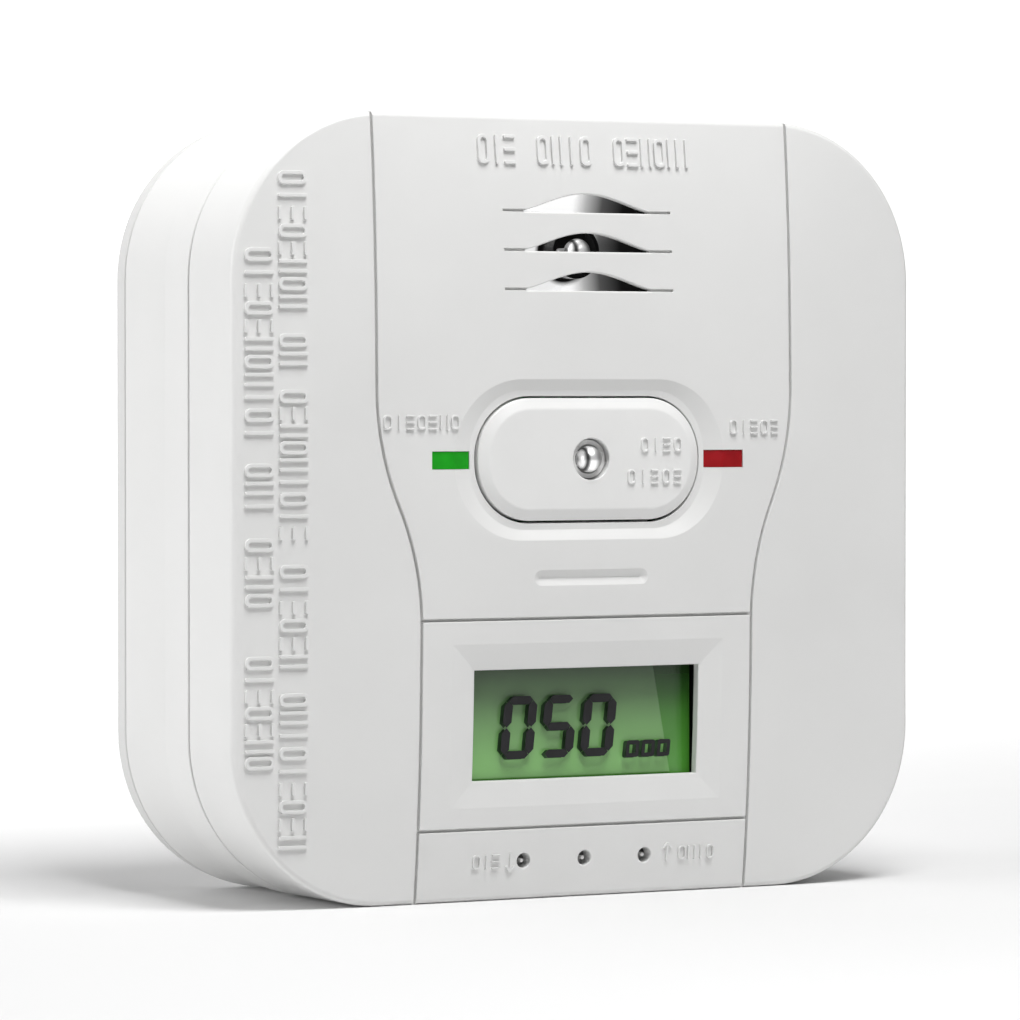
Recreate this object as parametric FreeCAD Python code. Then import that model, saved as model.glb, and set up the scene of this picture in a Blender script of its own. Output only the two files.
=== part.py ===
import FreeCAD, Part
import math
import os

# Carbon monoxide detector, battery powered, on a slide-on wall plate. Millimetres, +Z up, face towards -Y.
# Sub-parts are drawn with the centre of the face's edge at x = y = z = 0. save() moves them to the part's
# own frame, whose origin is the centre of the underside.

# ---- driving dimensions ----
side = 105.0                  # width and height of the square body
corner_radius = 22.0
wall = 1.9                    # cover wall
dome_rise = 2.64              # how far the middle of the face stands out of its edge
dome_span = 51.5
edge_round = 0.9              # rim of the face
small_round = 0.25            # other outside edges of the shells
parting_y = 13.1              # where the cover meets the rear housing
parting_gap = 0.3
step_y = 20.2                 # back edge of the housing's flange
step_inset = 0.6
housing_back_y = 32.6
plate_front_y = 32.8
plate_draft = 0.3
back_y = 36.0

button_z = 6.45
button_half = (17.05, 8.2)
button_radius = 7.9
button_front_y = -2.45
button_edge = (1.5, 0.65)     # width and depth of the sloping edge
button_travel = 0.8
button_gap = 0.3
ledge_y = -1.6                # flat ledge round the button
ledge_half = (18.1, 9.3)
status_hole_radius = 2.8
lamp_y = -1.75
lamp_radius = 1.75

window_x = (18.15, 24.1)      # indicator windows, either side of the button
window_z = (5.2, 7.6)

slot_baselines = (39.5, 34.25, 29.0)
slot_half = 9.6
slot_line_half = 13.0
slot_foot = 0.2
slot_rise = 2.6
horn_z = 34.3
horn_radius = 13.9

groove_wide_x = 32.07
groove_narrow_x = 25.55
groove_top_z = 16.0
groove_low_z = -15.5
groove_width = 0.38
groove_depth = 0.5
panel_lines_z = (-14.8, -42.8)

bezel_outer = (20.9, -39.9, -18.05)     # half width, lowest z, highest z
bezel_inner = (17.35, -36.45, -21.6)
bezel_slope = 0.6
display_y = 0.57

inlet_x = (-9.4, 0.0, 9.4)
inlet_z = -47.25
inlet_radius = 1.0

board_y = 9.0
board_thick = 1.6
board_half = 47.0
boss_at = 37.5
post_places = ((-43.0, 12.0), (43.0, 12.0), (-43.0, -20.0), (43.0, -20.0))

cell_radius = 7.25
cell_length = 50.5
cell_pitch = 15.4
cell_top_z = -8.0
cell_y = 25.0
bay_half_x = 30.3
bay_z = (-46.9, -0.1)
bay_floor_y = 17.5
bay_wall = 1.5

slide_travel = 6.0            # the case lifts this far to come off its hooks
hook_x = 40.0
hook_z = (24.0, -22.0)
hook_width = 8.0
hook_stem = 2.0
hook_lip = 3.5
screw_slot_x = 30.0
screw_slot_radius = 2.2
screw_slot_length = 10.0

switch_x = 30.0
switch_z = 16.0               # slider of the power switch with the case home on its plate
tact_x = 9.0
tact_tip_y = 4.3
tact_travel = 0.25
sensor_x = -22.0
sensor_z = 24.0
sensor_radius = 10.0

half = side / 2
board_back_y = board_y + board_thick


# ---- small helpers ----
def vec(x, y, z):
    return FreeCAD.Vector(x, y, z)


def box(x0, x1, y0, y1, z0, z1):
    return Part.makeBox(x1 - x0, y1 - y0, z1 - z0, vec(x0, y0, z0))


def rod(x, z, radius, y0, y1):
    return Part.makeCylinder(radius, y1 - y0, vec(x, y0, z), vec(0, 1, 0))


def tube(x, z, outer, inner, y0, y1):
    return rod(x, z, outer, y0, y1).cut(rod(x, z, inner, y0 - 1, y1 + 1))


def rounded_wire(half_x, half_z, radius, y=0.0, x=0.0, z=0.0):
    """Rectangle with round corners, in a plane of constant y."""
    edges = []
    inner_x = half_x - radius
    inner_z = half_z - radius
    corners = ((1, 1, 0), (-1, 1, 90), (-1, -1, 180), (1, -1, 270))
    ends = []
    for sign_x, sign_z, start in corners:
        centre = vec(x + sign_x * inner_x, y, z + sign_z * inner_z)
        points = []
        for angle in (start, start + 45, start + 90):
            turn = math.radians(angle)
            points.append(centre + vec(radius * math.cos(turn), 0, radius * math.sin(turn)))
        edges.append(Part.Arc(*points).toShape())
        ends.append((points[0], points[2]))
    for here, following in zip(ends, ends[1:] + ends[:1]):
        if (here[1] - following[0]).Length > 1e-6:
            edges.append(Part.LineSegment(here[1], following[0]).toShape())
    return Part.Wire(Part.__sortEdges__(edges))


def rounded_prism(half_x, half_z, radius, y0, y1, x=0.0, z=0.0):
    face = Part.Face(rounded_wire(half_x, half_z, radius, y0, x, z))
    return face.extrude(vec(0, y1 - y0, 0))


def round_edges(solid, radius, y):
    """Round the edges that lie all round the body at one depth."""
    ring = [edge for edge in solid.Edges if edge.BoundBox.YMin > y - 0.01 and edge.BoundBox.YMax < y + 0.01]
    return solid.makeFillet(radius, ring)


def spin(profile, x, z):
    """Solid of revolution about a line along y, from (radius, y) points."""
    points = [vec(radius, y, 0) for radius, y in profile]
    face = Part.Face(Part.makePolygon(points + points[:1]))
    solid = face.revolve(vec(0, 0, 0), vec(0, 1, 0), 360)
    solid.translate(vec(x, 0, z))
    return solid


def save(name, *solids):
    shape = solids[0] if len(solids) == 1 else Part.makeCompound(list(solids))
    shape = shape.copy()
    shape.translate(vec(0, -middle_y, half))
    assert shape.isValid(), name
    shape.exportStep("parts/" + name + ".step")
    print(name, len(shape.Solids), "solids", round(shape.Volume / 1000, 2), "cm3")


# ---- the domed face ----
def dome(x, z):
    return -dome_rise * (1 - (x / dome_span) ** 2) * (1 - abs(z / dome_span) ** 3)


def dome_slab(y0, y1):
    """Everything between the face moved back by y0 and the face moved back by y1."""
    reach = half + 1.5
    count = 15
    grid = [-reach + 2 * reach * step / (count - 1) for step in range(count)]
    points = [[vec(x, dome(x, z) + y0, z) for z in grid] for x in grid]
    surface = Part.BSplineSurface()
    surface.interpolate(points)
    return surface.toShape().extrude(vec(0, y1 - y0, 0))


front_y = lamp_y - lamp_radius
middle_y = (front_y + back_y) / 2


def face_block():
    """The cover as a solid block, its face domed and its rim rounded."""
    block = rounded_prism(half, half, corner_radius, -8, parting_y - parting_gap / 2)
    block = block.common(dome_slab(0, 40)).Solids[0]
    block = round_edges(block, small_round, parting_y - parting_gap / 2)
    rim = [edge for edge in block.Edges if edge.BoundBox.YMax < 1.0]
    return block.makeFillet(edge_round, rim)


def loft(low, high):
    return Part.makeLoft([low, high], True, True)


def rect_wire(half_x, z0, z1, y0, y1):
    """Rectangle that may lean back: y0 along its lower edge, y1 along its upper edge."""
    corners = [vec(-half_x, y0, z0), vec(half_x, y0, z0), vec(half_x, y1, z1), vec(-half_x, y1, z1)]
    return Part.makePolygon(corners + corners[:1])


# ---- front cover ----
def groove_strip(side_sign):
    """Plan of one waisted groove: straight, two equal arcs one each way, straight."""
    shift = groove_wide_x - groove_narrow_x
    drop = groove_top_z - groove_low_z
    radius = (shift ** 2 + drop ** 2) / (4 * shift)
    lean = math.asin(drop / 2 / radius)
    wires = []
    for offset in (-groove_width / 2, groove_width / 2):
        upper_radius = radius + offset
        lower_radius = radius - offset
        upper = vec(groove_wide_x - radius, 0, groove_top_z)
        lower = vec(groove_narrow_x + radius, 0, groove_low_z)
        half_up = vec(upper_radius * math.cos(lean / 2), 0, -upper_radius * math.sin(lean / 2))
        half_low = vec(-lower_radius * math.cos(lean / 2), 0, lower_radius * math.sin(lean / 2))
        join = upper + vec(upper_radius * math.cos(lean), 0, -upper_radius * math.sin(lean))
        top = vec(groove_wide_x + offset, 0, half + 2)
        low = vec(groove_narrow_x + offset, 0, -half - 2)
        bend_top = vec(groove_wide_x + offset, 0, groove_top_z)
        bend_low = vec(groove_narrow_x + offset, 0, groove_low_z)
        edges = [
            Part.LineSegment(top, bend_top).toShape(),
            Part.Arc(bend_top, upper + half_up, join).toShape(),
            Part.Arc(join, lower + half_low, bend_low).toShape(),
            Part.LineSegment(bend_low, low).toShape(),
        ]
        wires.append((edges, top, low))
    closing = [
        Part.LineSegment(wires[0][1], wires[1][1]).toShape(),
        Part.LineSegment(wires[0][2], wires[1][2]).toShape(),
    ]
    outline = Part.Wire(Part.__sortEdges__(wires[0][0] + wires[1][0] + closing))
    strip = Part.Face(outline).extrude(vec(0, 10, 0))
    strip.translate(vec(0, -6, 0))
    if side_sign < 0:
        strip = strip.mirror(vec(0, 0, 0), vec(1, 0, 0))
    return strip


def surface_lines():
    """Shallow lines moulded into the face: the waist grooves, panel lines and lines under the sound slots."""
    strips = [groove_strip(1), groove_strip(-1)]
    for z in panel_lines_z:
        reach = groove_narrow_x
        strips.append(box(-reach, reach, -6, 4, z - groove_width / 2, z + groove_width / 2))
    for z in slot_baselines:
        strips.append(box(-slot_line_half, slot_line_half, -6, 4, z, z + 0.35))
    skin = dome_slab(-0.5, groove_depth)
    return [strip.common(skin) for strip in strips]


def sound_slot(z):
    """Opening with a flat lower lip and an upper lip that swells to the middle."""
    lean_x = 0.65 * slot_half
    lean_z = z + slot_foot + 0.42 * (slot_rise - slot_foot)
    flat_x = 0.38 * slot_half
    left = vec(-slot_half, -6, z + slot_foot)
    crown = vec(0, -6, z + slot_rise)
    right = vec(slot_half, -6, z + slot_foot)
    rise = Part.BezierCurve()
    rise.setPoles([left, vec(-lean_x, -6, lean_z), vec(-flat_x, -6, crown.z), crown])
    fall = Part.BezierCurve()
    fall.setPoles([crown, vec(flat_x, -6, crown.z), vec(lean_x, -6, lean_z), right])
    edges = [rise.toShape(), fall.toShape()]
    corners = [right, vec(slot_half, -6, z), vec(-slot_half, -6, z), left]
    for here, following in zip(corners, corners[1:]):
        edges.append(Part.LineSegment(here, following).toShape())
    return Part.Face(Part.Wire(Part.__sortEdges__(edges))).extrude(vec(0, 12, 0))


def button_recess():
    """Sloping dish that leads down to the flat ledge round the button."""
    ledge = rounded_wire(*ledge_half, ledge_half[1] - 0.2, ledge_y, z=button_z)
    lip = rounded_wire(ledge_half[0] + 4.3, ledge_half[1] + 1.6, ledge_half[1] + 1.4, ledge_y - 1.0, z=button_z)
    hole = rounded_prism(
        button_half[0] + button_gap, button_half[1] + button_gap, button_radius + button_gap, -6, 6, z=button_z
    )
    return [loft(ledge, lip), Part.Face(lip).extrude(vec(0, -2, 0)), hole]


def finger_groove():
    """Short V-shaped groove with round ends, below the button."""
    z = -9.4
    reach = 7.75
    depth = 0.75
    radius = 1.1
    top = dome(0, z) - 0.3
    wide = radius * (depth + 0.3) / depth
    section = [vec(-reach, top, z - wide), vec(-reach, top + depth + 0.3, z), vec(-reach, top, z + wide)]
    solids = [Part.Face(Part.makePolygon(section + section[:1])).extrude(vec(2 * reach, 0, 0))]
    for x in (-reach, reach):
        solids.append(Part.makeCone(wide, 0, depth + 0.3, vec(x, top, z), vec(0, 1, 0)))
    return solids


def display_bezel():
    """Mitred frame that slopes down to the display opening, and the opening itself."""
    half_out, low_out, high_out = bezel_outer
    half_in, low_in, high_in = bezel_inner
    mean_x = half_out * 0.75
    outer = rect_wire(half_out, low_out, high_out, dome(mean_x, low_out), dome(mean_x, high_out))
    inner = rect_wire(
        half_in, low_in, high_in, dome(0, low_in) + bezel_slope, dome(0, high_in) + bezel_slope
    )
    above = Part.Face(outer).extrude(vec(0, -3, 0))
    return [loft(inner, outer), above, box(-half_in, half_in, -6, 6, low_in, high_in)]


def cover_bosses():
    """Screw bosses in the corners and posts for the circuit board, inside the cover."""
    solids = []
    for x in (-boss_at, boss_at):
        for z in (-boss_at, boss_at):
            solids.append(rod(x, z, 4.0, dome(x, z) + 1.0, parting_y - parting_gap / 2))
    for x, z in post_places:
        solids.append(rod(x, z, 2.6, dome(x, z) + 1.0, board_y))
    return solids


def cover_boss_holes():
    holes = [rod(x, z, 1.32, 5.0, 14.0) for x in (-boss_at, boss_at) for z in (-boss_at, boss_at)]
    return holes + [rod(x, z, 1.05, 3.5, 10.0) for x, z in post_places]


def front_cover():
    block = face_block()
    inner = half - wall
    hollow = rounded_prism(inner, inner, corner_radius - wall, -8, 20).common(dome_slab(wall, 40))
    shell = block.cut(hollow)
    pad = box(-22.6, 22.6, -5, 0.35, bezel_outer[1] - 1.6, bezel_outer[2] + 1.6)
    shell = shell.fuse([pad.common(dome_slab(0.6, 40))] + cover_bosses())
    cuts = surface_lines() + button_recess() + finger_groove() + display_bezel() + cover_boss_holes()
    cuts += [sound_slot(z) for z in slot_baselines]
    cuts += [rod(x, inlet_z, inlet_radius, -3, 4) for x in inlet_x]
    cuts.append(rod(0, horn_z, horn_radius + 0.3, -3, 6).common(dome_slab(1.2, 12)))
    for sign in (-1, 1):
        xs = sorted(sign * x for x in window_x)
        cuts.append(box(xs[0], xs[1], -5, 5, *window_z))
    return shell.cut(cuts).Solids[0]


# ---- rear housing and wall plate ----
def rear_housing():
    front_y = parting_y + parting_gap / 2
    waist = half - step_inset
    flange = rounded_prism(half, half, corner_radius, front_y, step_y)
    flange = round_edges(round_edges(flange, small_round, front_y), small_round, step_y)
    near = rounded_wire(waist, waist, corner_radius - step_inset, step_y - 1)
    far = rounded_wire(half, half, corner_radius, housing_back_y)
    body = flange.fuse(round_edges(loft(near, far), small_round, housing_back_y))
    inner = half - 2.8
    body = body.cut(rounded_prism(inner, inner, corner_radius - 2.8, 10, housing_back_y - 2))
    tongue = rounded_prism(half - wall - 0.2, half - wall - 0.2, corner_radius - wall - 0.2, 11, front_y + 1)
    tongue = tongue.cut(rounded_prism(half - 3.3, half - 3.3, corner_radius - 3.3, 10, 20))
    bay_outer = box(
        -bay_half_x - bay_wall, bay_half_x + bay_wall, bay_floor_y - bay_wall, housing_back_y - 0.5,
        bay_z[0] - bay_wall, bay_z[1] + bay_wall,
    )
    columns = [
        rod(x, z, 4.2, front_y, housing_back_y - 0.5) for x in (-boss_at, boss_at) for z in (-boss_at, boss_at)
    ]
    body = body.fuse([tongue, bay_outer] + columns)
    cuts = [box(-bay_half_x, bay_half_x, bay_floor_y, back_y, *bay_z)]
    for x in (-boss_at, boss_at):
        for z in (-boss_at, boss_at):
            cuts.append(rod(x, z, 1.5, 10, 20))
            cuts.append(rod(x, z, 3.0, 18.0, back_y))
    for x in (-hook_x, hook_x):
        for z in hook_z:
            cuts.append(
                box(x - hook_width / 2 - 0.4, x + hook_width / 2 + 0.4, 29, back_y,
                    z - slide_travel - 0.4, z + hook_stem + 0.1)
            )
    cuts.append(box(switch_x - 1.8, switch_x + 1.8, 29, back_y, switch_z - slide_travel - 1.9, switch_z + 1.9))
    for x, z in contact_tails():
        cuts.append(box(x - 0.5, x + 0.5, 15, 19, z - 1.3, z + 1.3))
    body = body.cut(cuts)
    return body.fuse(cell_ribs()).removeSplitter().Solids[0]


def cell_ribs():
    """Stops behind the plus plates and saddles that keep the cells apart, inside the battery bay."""
    ribs = []
    for index in range(3):
        z = cell_top_z - index * cell_pitch
        sign = 1 if index % 2 == 0 else -1
        xs = sorted((sign * 27.0, sign * (bay_half_x + 0.5)))
        ribs.append(box(xs[0], xs[1], bay_floor_y - 0.5, 29.0, z - 6.0, z - 3.0))
        ribs.append(box(xs[0], xs[1], bay_floor_y - 0.5, 29.0, z + 3.0, z + 6.0))
    for index in range(2):
        z = cell_top_z - (index + 0.5) * cell_pitch
        for x in (-15.0, 15.0):
            ribs.append(box(x - 4, x + 4, bay_floor_y - 0.5, 19.6, z - 1.2, z + 1.2))
    return ribs


def wall_plate():
    front = rounded_wire(half, half, corner_radius, plate_front_y)
    back = rounded_wire(half - plate_draft, half - plate_draft, corner_radius - plate_draft, back_y)
    plate = round_edges(round_edges(loft(front, back), small_round, plate_front_y), 2 * small_round, back_y)
    web_y = plate_front_y + 1.8
    pocket = rounded_prism(half - 3, half - 3, corner_radius - 3, web_y, back_y + 1)
    keep = []
    for x in (-17.5, 0.0, 17.5):
        keep.append(box(x - 0.8, x + 0.8, web_y - 0.2, back_y - 0.3, -half + 2, half - 2))
    for z in (-30.0, 30.0):
        keep.append(box(-half + 2, half - 2, web_y - 0.2, back_y - 0.3, z - 0.8, z + 0.8))
    for x in (-screw_slot_x, screw_slot_x):
        keep.append(rounded_prism(9.5, 6.5, 6.0, web_y - 0.2, back_y, x=x))
    keep.append(rod(switch_x, switch_z, 4.2, web_y - 0.2, back_y - 0.3))
    hooks = []
    for x in (-hook_x, hook_x):
        for z in hook_z:
            x0 = x - hook_width / 2
            x1 = x + hook_width / 2
            hooks.append(box(x0, x1, 28.9, plate_front_y + 0.5, z, z + hook_stem))
            hooks.append(box(x0, x1, 28.9, 30.35, z, z + hook_stem + hook_lip))
    plate = plate.cut(pocket).fuse(keep + hooks)
    cuts = []
    for x in (-screw_slot_x, screw_slot_x):
        reach = screw_slot_length / 2
        cuts.append(rounded_prism(reach, screw_slot_radius, screw_slot_radius, 30, back_y + 1, x=x))
        cuts.append(rounded_prism(reach + 2, screw_slot_radius + 2, screw_slot_radius + 2, 30, 34.2, x=x))
    cuts.append(box(switch_x - 1.8, switch_x + 1.8, 30, 35.0, switch_z - 1.8, switch_z + 1.8))
    return plate.cut(cuts).removeSplitter().Solids[0]


# ---- button, indicators ----
def test_button():
    skirt_y = 1.0
    edge_width, edge_depth = button_edge
    top_half = (button_half[0] - edge_width, button_half[1] - edge_width)
    shoulder_y = button_front_y + edge_depth
    top = rounded_wire(*top_half, button_radius - edge_width, button_front_y, z=button_z)
    shoulder = rounded_wire(*button_half, button_radius, shoulder_y, z=button_z)
    cap = rounded_prism(*button_half, button_radius, shoulder_y, skirt_y, z=button_z).fuse(loft(top, shoulder))
    cap = round_edges(cap.removeSplitter().Solids[0], 0.3, button_front_y)
    hollow = rounded_prism(
        button_half[0] - 1.6, button_half[1] - 1.6, button_radius - 1.6, button_front_y + 1.7, 5, z=button_z
    )
    cap = cap.cut(hollow)
    tabs = []
    for sign in (-1, 1):
        zs = sorted((button_z + sign * (button_half[1] - 0.5), button_z + sign * 10.0))
        tabs.append(box(-10, 10, -0.3, skirt_y, *zs))
    post_end = tact_tip_y - (button_travel - tact_travel)
    post = rod(tact_x, button_z, 2.0, button_front_y + 1.0, post_end)
    sleeve = rod(0, button_z, status_hole_radius + 1.0, button_front_y + 1.0, skirt_y)
    cap = cap.fuse(tabs + [post, sleeve])
    hole = rod(0, button_z, status_hole_radius, -8, 6)
    mouth = Part.makeCone(
        status_hole_radius + 0.25, status_hole_radius, 0.25, vec(0, button_front_y, button_z), vec(0, 1, 0)
    )
    return cap.cut([hole, mouth]).removeSplitter().Solids[0]


def indicator_window(sign):
    """Light pipe, flush with the face and with the slope round the button."""
    xs = sorted(sign * x for x in window_x)
    front = face_block().cut(button_recess())
    pipe = box(xs[0] + 0.04, xs[1] - 0.04, -5, 5, window_z[0] + 0.04, window_z[1] - 0.04).common(front).Solids[0]
    tail = box(sign * 21.1 - 1.6, sign * 21.1 + 1.6, 4.5, 7.4, button_z - 1.1, button_z + 1.1)
    pipe = pipe.fuse(tail).removeSplitter().Solids[0]
    pipe.translate(vec(0, 0.15, 0))
    return pipe


def status_lamp():
    """Bright ball of the status lamp on its stem."""
    ball = Part.makeSphere(lamp_radius, vec(0, lamp_y, button_z))
    return ball.fuse(rod(0, button_z, 1.0, lamp_y, board_y)).removeSplitter().Solids[0]


# ---- display ----
def display_parts():
    holder = box(-22.4, 22.4, 0.95, board_y, -41.4, -16.6)
    glass_space = box(-20.2, 20.2, 0, 3.2, -39.7, -18.3)
    light_space = box(-18.9, 18.9, 2, 6.2, -38.0, -20.0)
    holder = holder.cut([glass_space, light_space])
    strip_boxes = []
    for z in (-39.2, -18.8):
        strip_boxes.append((z - 0.45, z + 0.45))
        holder = holder.cut(box(-17, 17, 2, 12, z - 0.6, z + 0.6))
    holder = holder.cut(box(-12, 12, 5, 12, -34, -24))
    glass = box(-20, 20, display_y + 0.1, 3.1, -39.5, -18.5)
    light = box(-18.7, 18.7, 3.15, 6.1, -37.8, -20.2)
    strips = [box(-16.5, 16.5, 3.15, board_y, low, high) for low, high in strip_boxes]
    save("lcd_holder", holder.Solids[0])
    save("lcd_glass", glass)
    save("lcd_backlight", light)
    save("lcd_contact_strips", *strips)


# ---- sounder ----
def sounder_parts():
    rim_y = 1.0
    bowl = rod(0, horn_z, horn_radius, rim_y, 6.4)
    reach = 20.6
    bowl = bowl.cut([Part.makeSphere(reach, vec(0, rim_y - 16.0, horn_z)), rod(0, horn_z, 3.7, 0, 8)])
    save("horn_bowl", bowl.removeSplitter().Solids[0])
    save("horn_throat_ring", tube(0, horn_z, 3.6, 3.1, 1.7, 6.4))
    ball = Part.makeSphere(1.8, vec(0, 1.5, horn_z)).fuse(rod(0, horn_z, 0.6, 1.5, 6.3))
    spider = box(-3.05, 3.05, 5.6, 6.3, horn_z - 0.35, horn_z + 0.35)
    save("horn_ball", ball.fuse(spider).removeSplitter().Solids[0])
    save("piezo_disc", rod(0, horn_z, 13.2, 6.75, 7.0), rod(0, horn_z, 9.5, 7.0, 7.25))
    base = rod(0, horn_z, horn_radius, 6.4, board_y).cut(rod(0, horn_z, 13.3, 6.0, 7.4))
    save("sounder_base", base.cut(rod(0, horn_z, 11.5, 6.0, 8.2)).Solids[0])


# ---- circuit board and what it carries ----
def circuit_board():
    board = rounded_prism(board_half, board_half, corner_radius - 5.5, board_y, board_back_y)
    cuts = [rod(x, z, 4.4, 8, 12) for x in (-boss_at, boss_at) for z in (-boss_at, boss_at)]
    cuts += [rod(x, z, 1.3, 8, 12) for x, z in post_places]
    return board.cut(cuts).Solids[0]


def flat_chip(x, z, size, pin_count):
    """Square chip with legs down two sides."""
    reach = size / 2
    y0 = board_back_y
    chip = box(x - reach, x + reach, y0 + 0.15, y0 + 1.5, z - reach, z + reach)
    legs = []
    for index in range(pin_count):
        leg_z = z + (index - (pin_count - 1) / 2) * size / (pin_count + 1)
        legs.append(box(x - reach - 1, x + reach + 1, y0, y0 + 0.4, leg_z - 0.2, leg_z + 0.2))
    return chip.fuse(legs).removeSplitter().Solids[0]


def capacitors():
    cans = []
    for x, radius, height in ((6.0, 3.15, 11.0), (14.0, 3.15, 11.0), (21.5, 2.5, 9.0)):
        can = rod(x, 38.0, radius, board_back_y, board_back_y + height)
        top = [edge for edge in can.Edges if edge.BoundBox.YMin > board_back_y + height - 0.01]
        cans.append(can.makeFillet(0.4, top))
    return cans


def small_parts():
    blocks = []
    for row, z in enumerate((-12.0, -36.0)):
        for column in range(6):
            x = -20.0 + 8.0 * column + 2.0 * row
            blocks.append(box(x - 1.0, x + 1.0, board_back_y, board_back_y + 0.6, z - 0.6, z + 0.6))
    return blocks


def boost_coil():
    core = spin([(0, 0), (4.5, 0), (4.5, 1.2), (3.0, 1.2), (3.0, 5.8), (4.5, 5.8), (4.5, 7), (0, 7)], 12, 24)
    core.translate(vec(0, board_back_y, 0))
    winding = tube(12, 24, 4.2, 3.0, board_back_y + 1.25, board_back_y + 5.75)
    return core, winding


def tact_switch():
    body = box(tact_x - 3, tact_x + 3, 5.7, board_y, button_z - 3, button_z + 3)
    body = body.cut(rod(tact_x, button_z, 1.85, 5, 7.2))
    plunger = rod(tact_x, button_z, 1.75, tact_tip_y, 6.7)
    return body.Solids[0], plunger


def power_switch():
    """Slide switch on the back of the board; its long slider reaches through the case to the wall plate."""
    low_z = switch_z - slide_travel
    y0 = board_back_y
    body = box(switch_x - 4, switch_x + 4, y0, y0 + 4.4, low_z - 4, switch_z + 4)
    space = box(switch_x - 2.7, switch_x + 2.7, y0 + 1.5, y0 + 3.5, low_z - 2.5, switch_z + 2.5)
    mouth = box(switch_x - 1.8, switch_x + 1.8, y0 + 3, y0 + 6, low_z - 1.7, switch_z + 1.7)
    foot = box(switch_x - 2.4, switch_x + 2.4, y0 + 1.8, y0 + 3.2, switch_z - 2.2, switch_z + 2.2)
    stem = box(switch_x - 1.4, switch_x + 1.4, y0 + 1.8, 34.6, switch_z - 1.4, switch_z + 1.4)
    return body.cut([space, mouth]).Solids[0], foot.fuse(stem).removeSplitter().Solids[0]


def sensor_parts():
    y0 = board_back_y + 0.5
    can = spin([(0, y0), (sensor_radius, y0), (sensor_radius, y0 + 12), (8.6, y0 + 12), (8.6, y0 + 13),
                (0, y0 + 13)], sensor_x, sensor_z)
    seal = tube(sensor_x, sensor_z, 9.4, 8.65, y0 + 12.02, y0 + 12.9)
    cap = spin([(1.2, y0 + 13.02), (sensor_radius, y0 + 13.02), (sensor_radius, y0 + 15), (8, y0 + 16),
                (1.2, y0 + 16)], sensor_x, sensor_z)
    pins = [rod(sensor_x + x, sensor_z, 0.5, board_back_y, y0) for x in (-5, 5)]
    save("co_sensor_can", can.fuse(pins).removeSplitter().Solids[0])
    save("co_sensor_seal", seal)
    save("co_sensor_cap", cap)


# ---- battery bay ----
def cell_end(index):
    """Side of the plus end of each cell: they lie head to tail."""
    return 1 if index % 2 == 0 else -1


def contact_tails():
    """Where the contacts' tails leave the bay, as (x, z)."""
    places = []
    for index in range(3):
        z = cell_top_z - index * cell_pitch
        places.append((cell_end(index) * 26.6, z))
        places.append((-cell_end(index) * 30.0, z))
    return places


def battery_cell(index):
    z = cell_top_z - index * cell_pitch
    sign = cell_end(index)
    nub = 1.2
    start = vec(-sign * 24.2, cell_y, z)
    can = Part.makeCylinder(cell_radius, cell_length - nub, start, vec(sign, 0, 0))
    can = can.makeFillet(0.6, [edge for edge in can.Edges if edge.BoundBox.XLength < 0.01])
    tip = Part.makeCylinder(2.6, cell_length, start, vec(sign, 0, 0))
    return can.fuse(tip).removeSplitter().Solids[0]


def plus_plates():
    plates = []
    for index in range(3):
        z = cell_top_z - index * cell_pitch
        xs = sorted((cell_end(index) * 26.4, cell_end(index) * 26.8))
        plate = box(xs[0], xs[1], bay_floor_y + 0.2, 30.0, z - 5.5, z + 5.5)
        plates.append(plate.fuse(box(xs[0], xs[1], board_back_y + 0.05, 20, z - 1, z + 1)).removeSplitter().Solids[0])
    return plates


def minus_springs():
    """Bowed leaf on a flat plate at the minus end of each cell."""
    springs = []
    for index in range(3):
        z = cell_top_z - index * cell_pitch
        sign = -cell_end(index)
        xs = sorted((sign * 29.8, sign * 30.2))
        plate = box(xs[0], xs[1], bay_floor_y + 0.2, 31.0, z - 5.0, z + 5.0)
        tail = box(xs[0], xs[1], board_back_y + 0.05, 20, z - 1, z + 1)
        outer = Part.Arc(vec(sign * 30.0, 20, 0), vec(sign * 24.5, cell_y, 0), vec(sign * 30.0, 30, 0)).toShape()
        inner = Part.Arc(vec(sign * 30.0, 20.5, 0), vec(sign * 24.9, cell_y, 0), vec(sign * 30.0, 29.5, 0)).toShape()
        ends = [
            Part.LineSegment(vec(sign * 30.0, 20, 0), vec(sign * 30.0, 20.5, 0)).toShape(),
            Part.LineSegment(vec(sign * 30.0, 30, 0), vec(sign * 30.0, 29.5, 0)).toShape(),
        ]
        bow = Part.Face(Part.Wire(Part.__sortEdges__([outer, inner] + ends))).extrude(vec(0, 0, 4))
        bow.translate(vec(0, 0, z - 2))
        springs.append(plate.fuse([tail, bow]).removeSplitter().Solids[0])
    return springs


# ---- fasteners ----
def cross_screw(x, z, head_y, end_y, head_radius, shank_radius, head_height):
    """Pan-head screw, driven from behind."""
    head = rod(x, z, head_radius, head_y, head_y + head_height)
    head = head.makeFillet(0.4, [edge for edge in head.Edges if edge.BoundBox.YMin > head_y + head_height - 0.01])
    screw = head.fuse(rod(x, z, shank_radius, end_y, head_y)).removeSplitter()
    depth = head_y + head_height - 0.8
    reach = head_radius * 0.6
    cross = box(x - reach, x + reach, depth, depth + 2, z - 0.3, z + 0.3).fuse(
        box(x - 0.3, x + 0.3, depth, depth + 2, z - reach, z + reach)
    )
    return screw.cut(cross).Solids[0]


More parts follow.
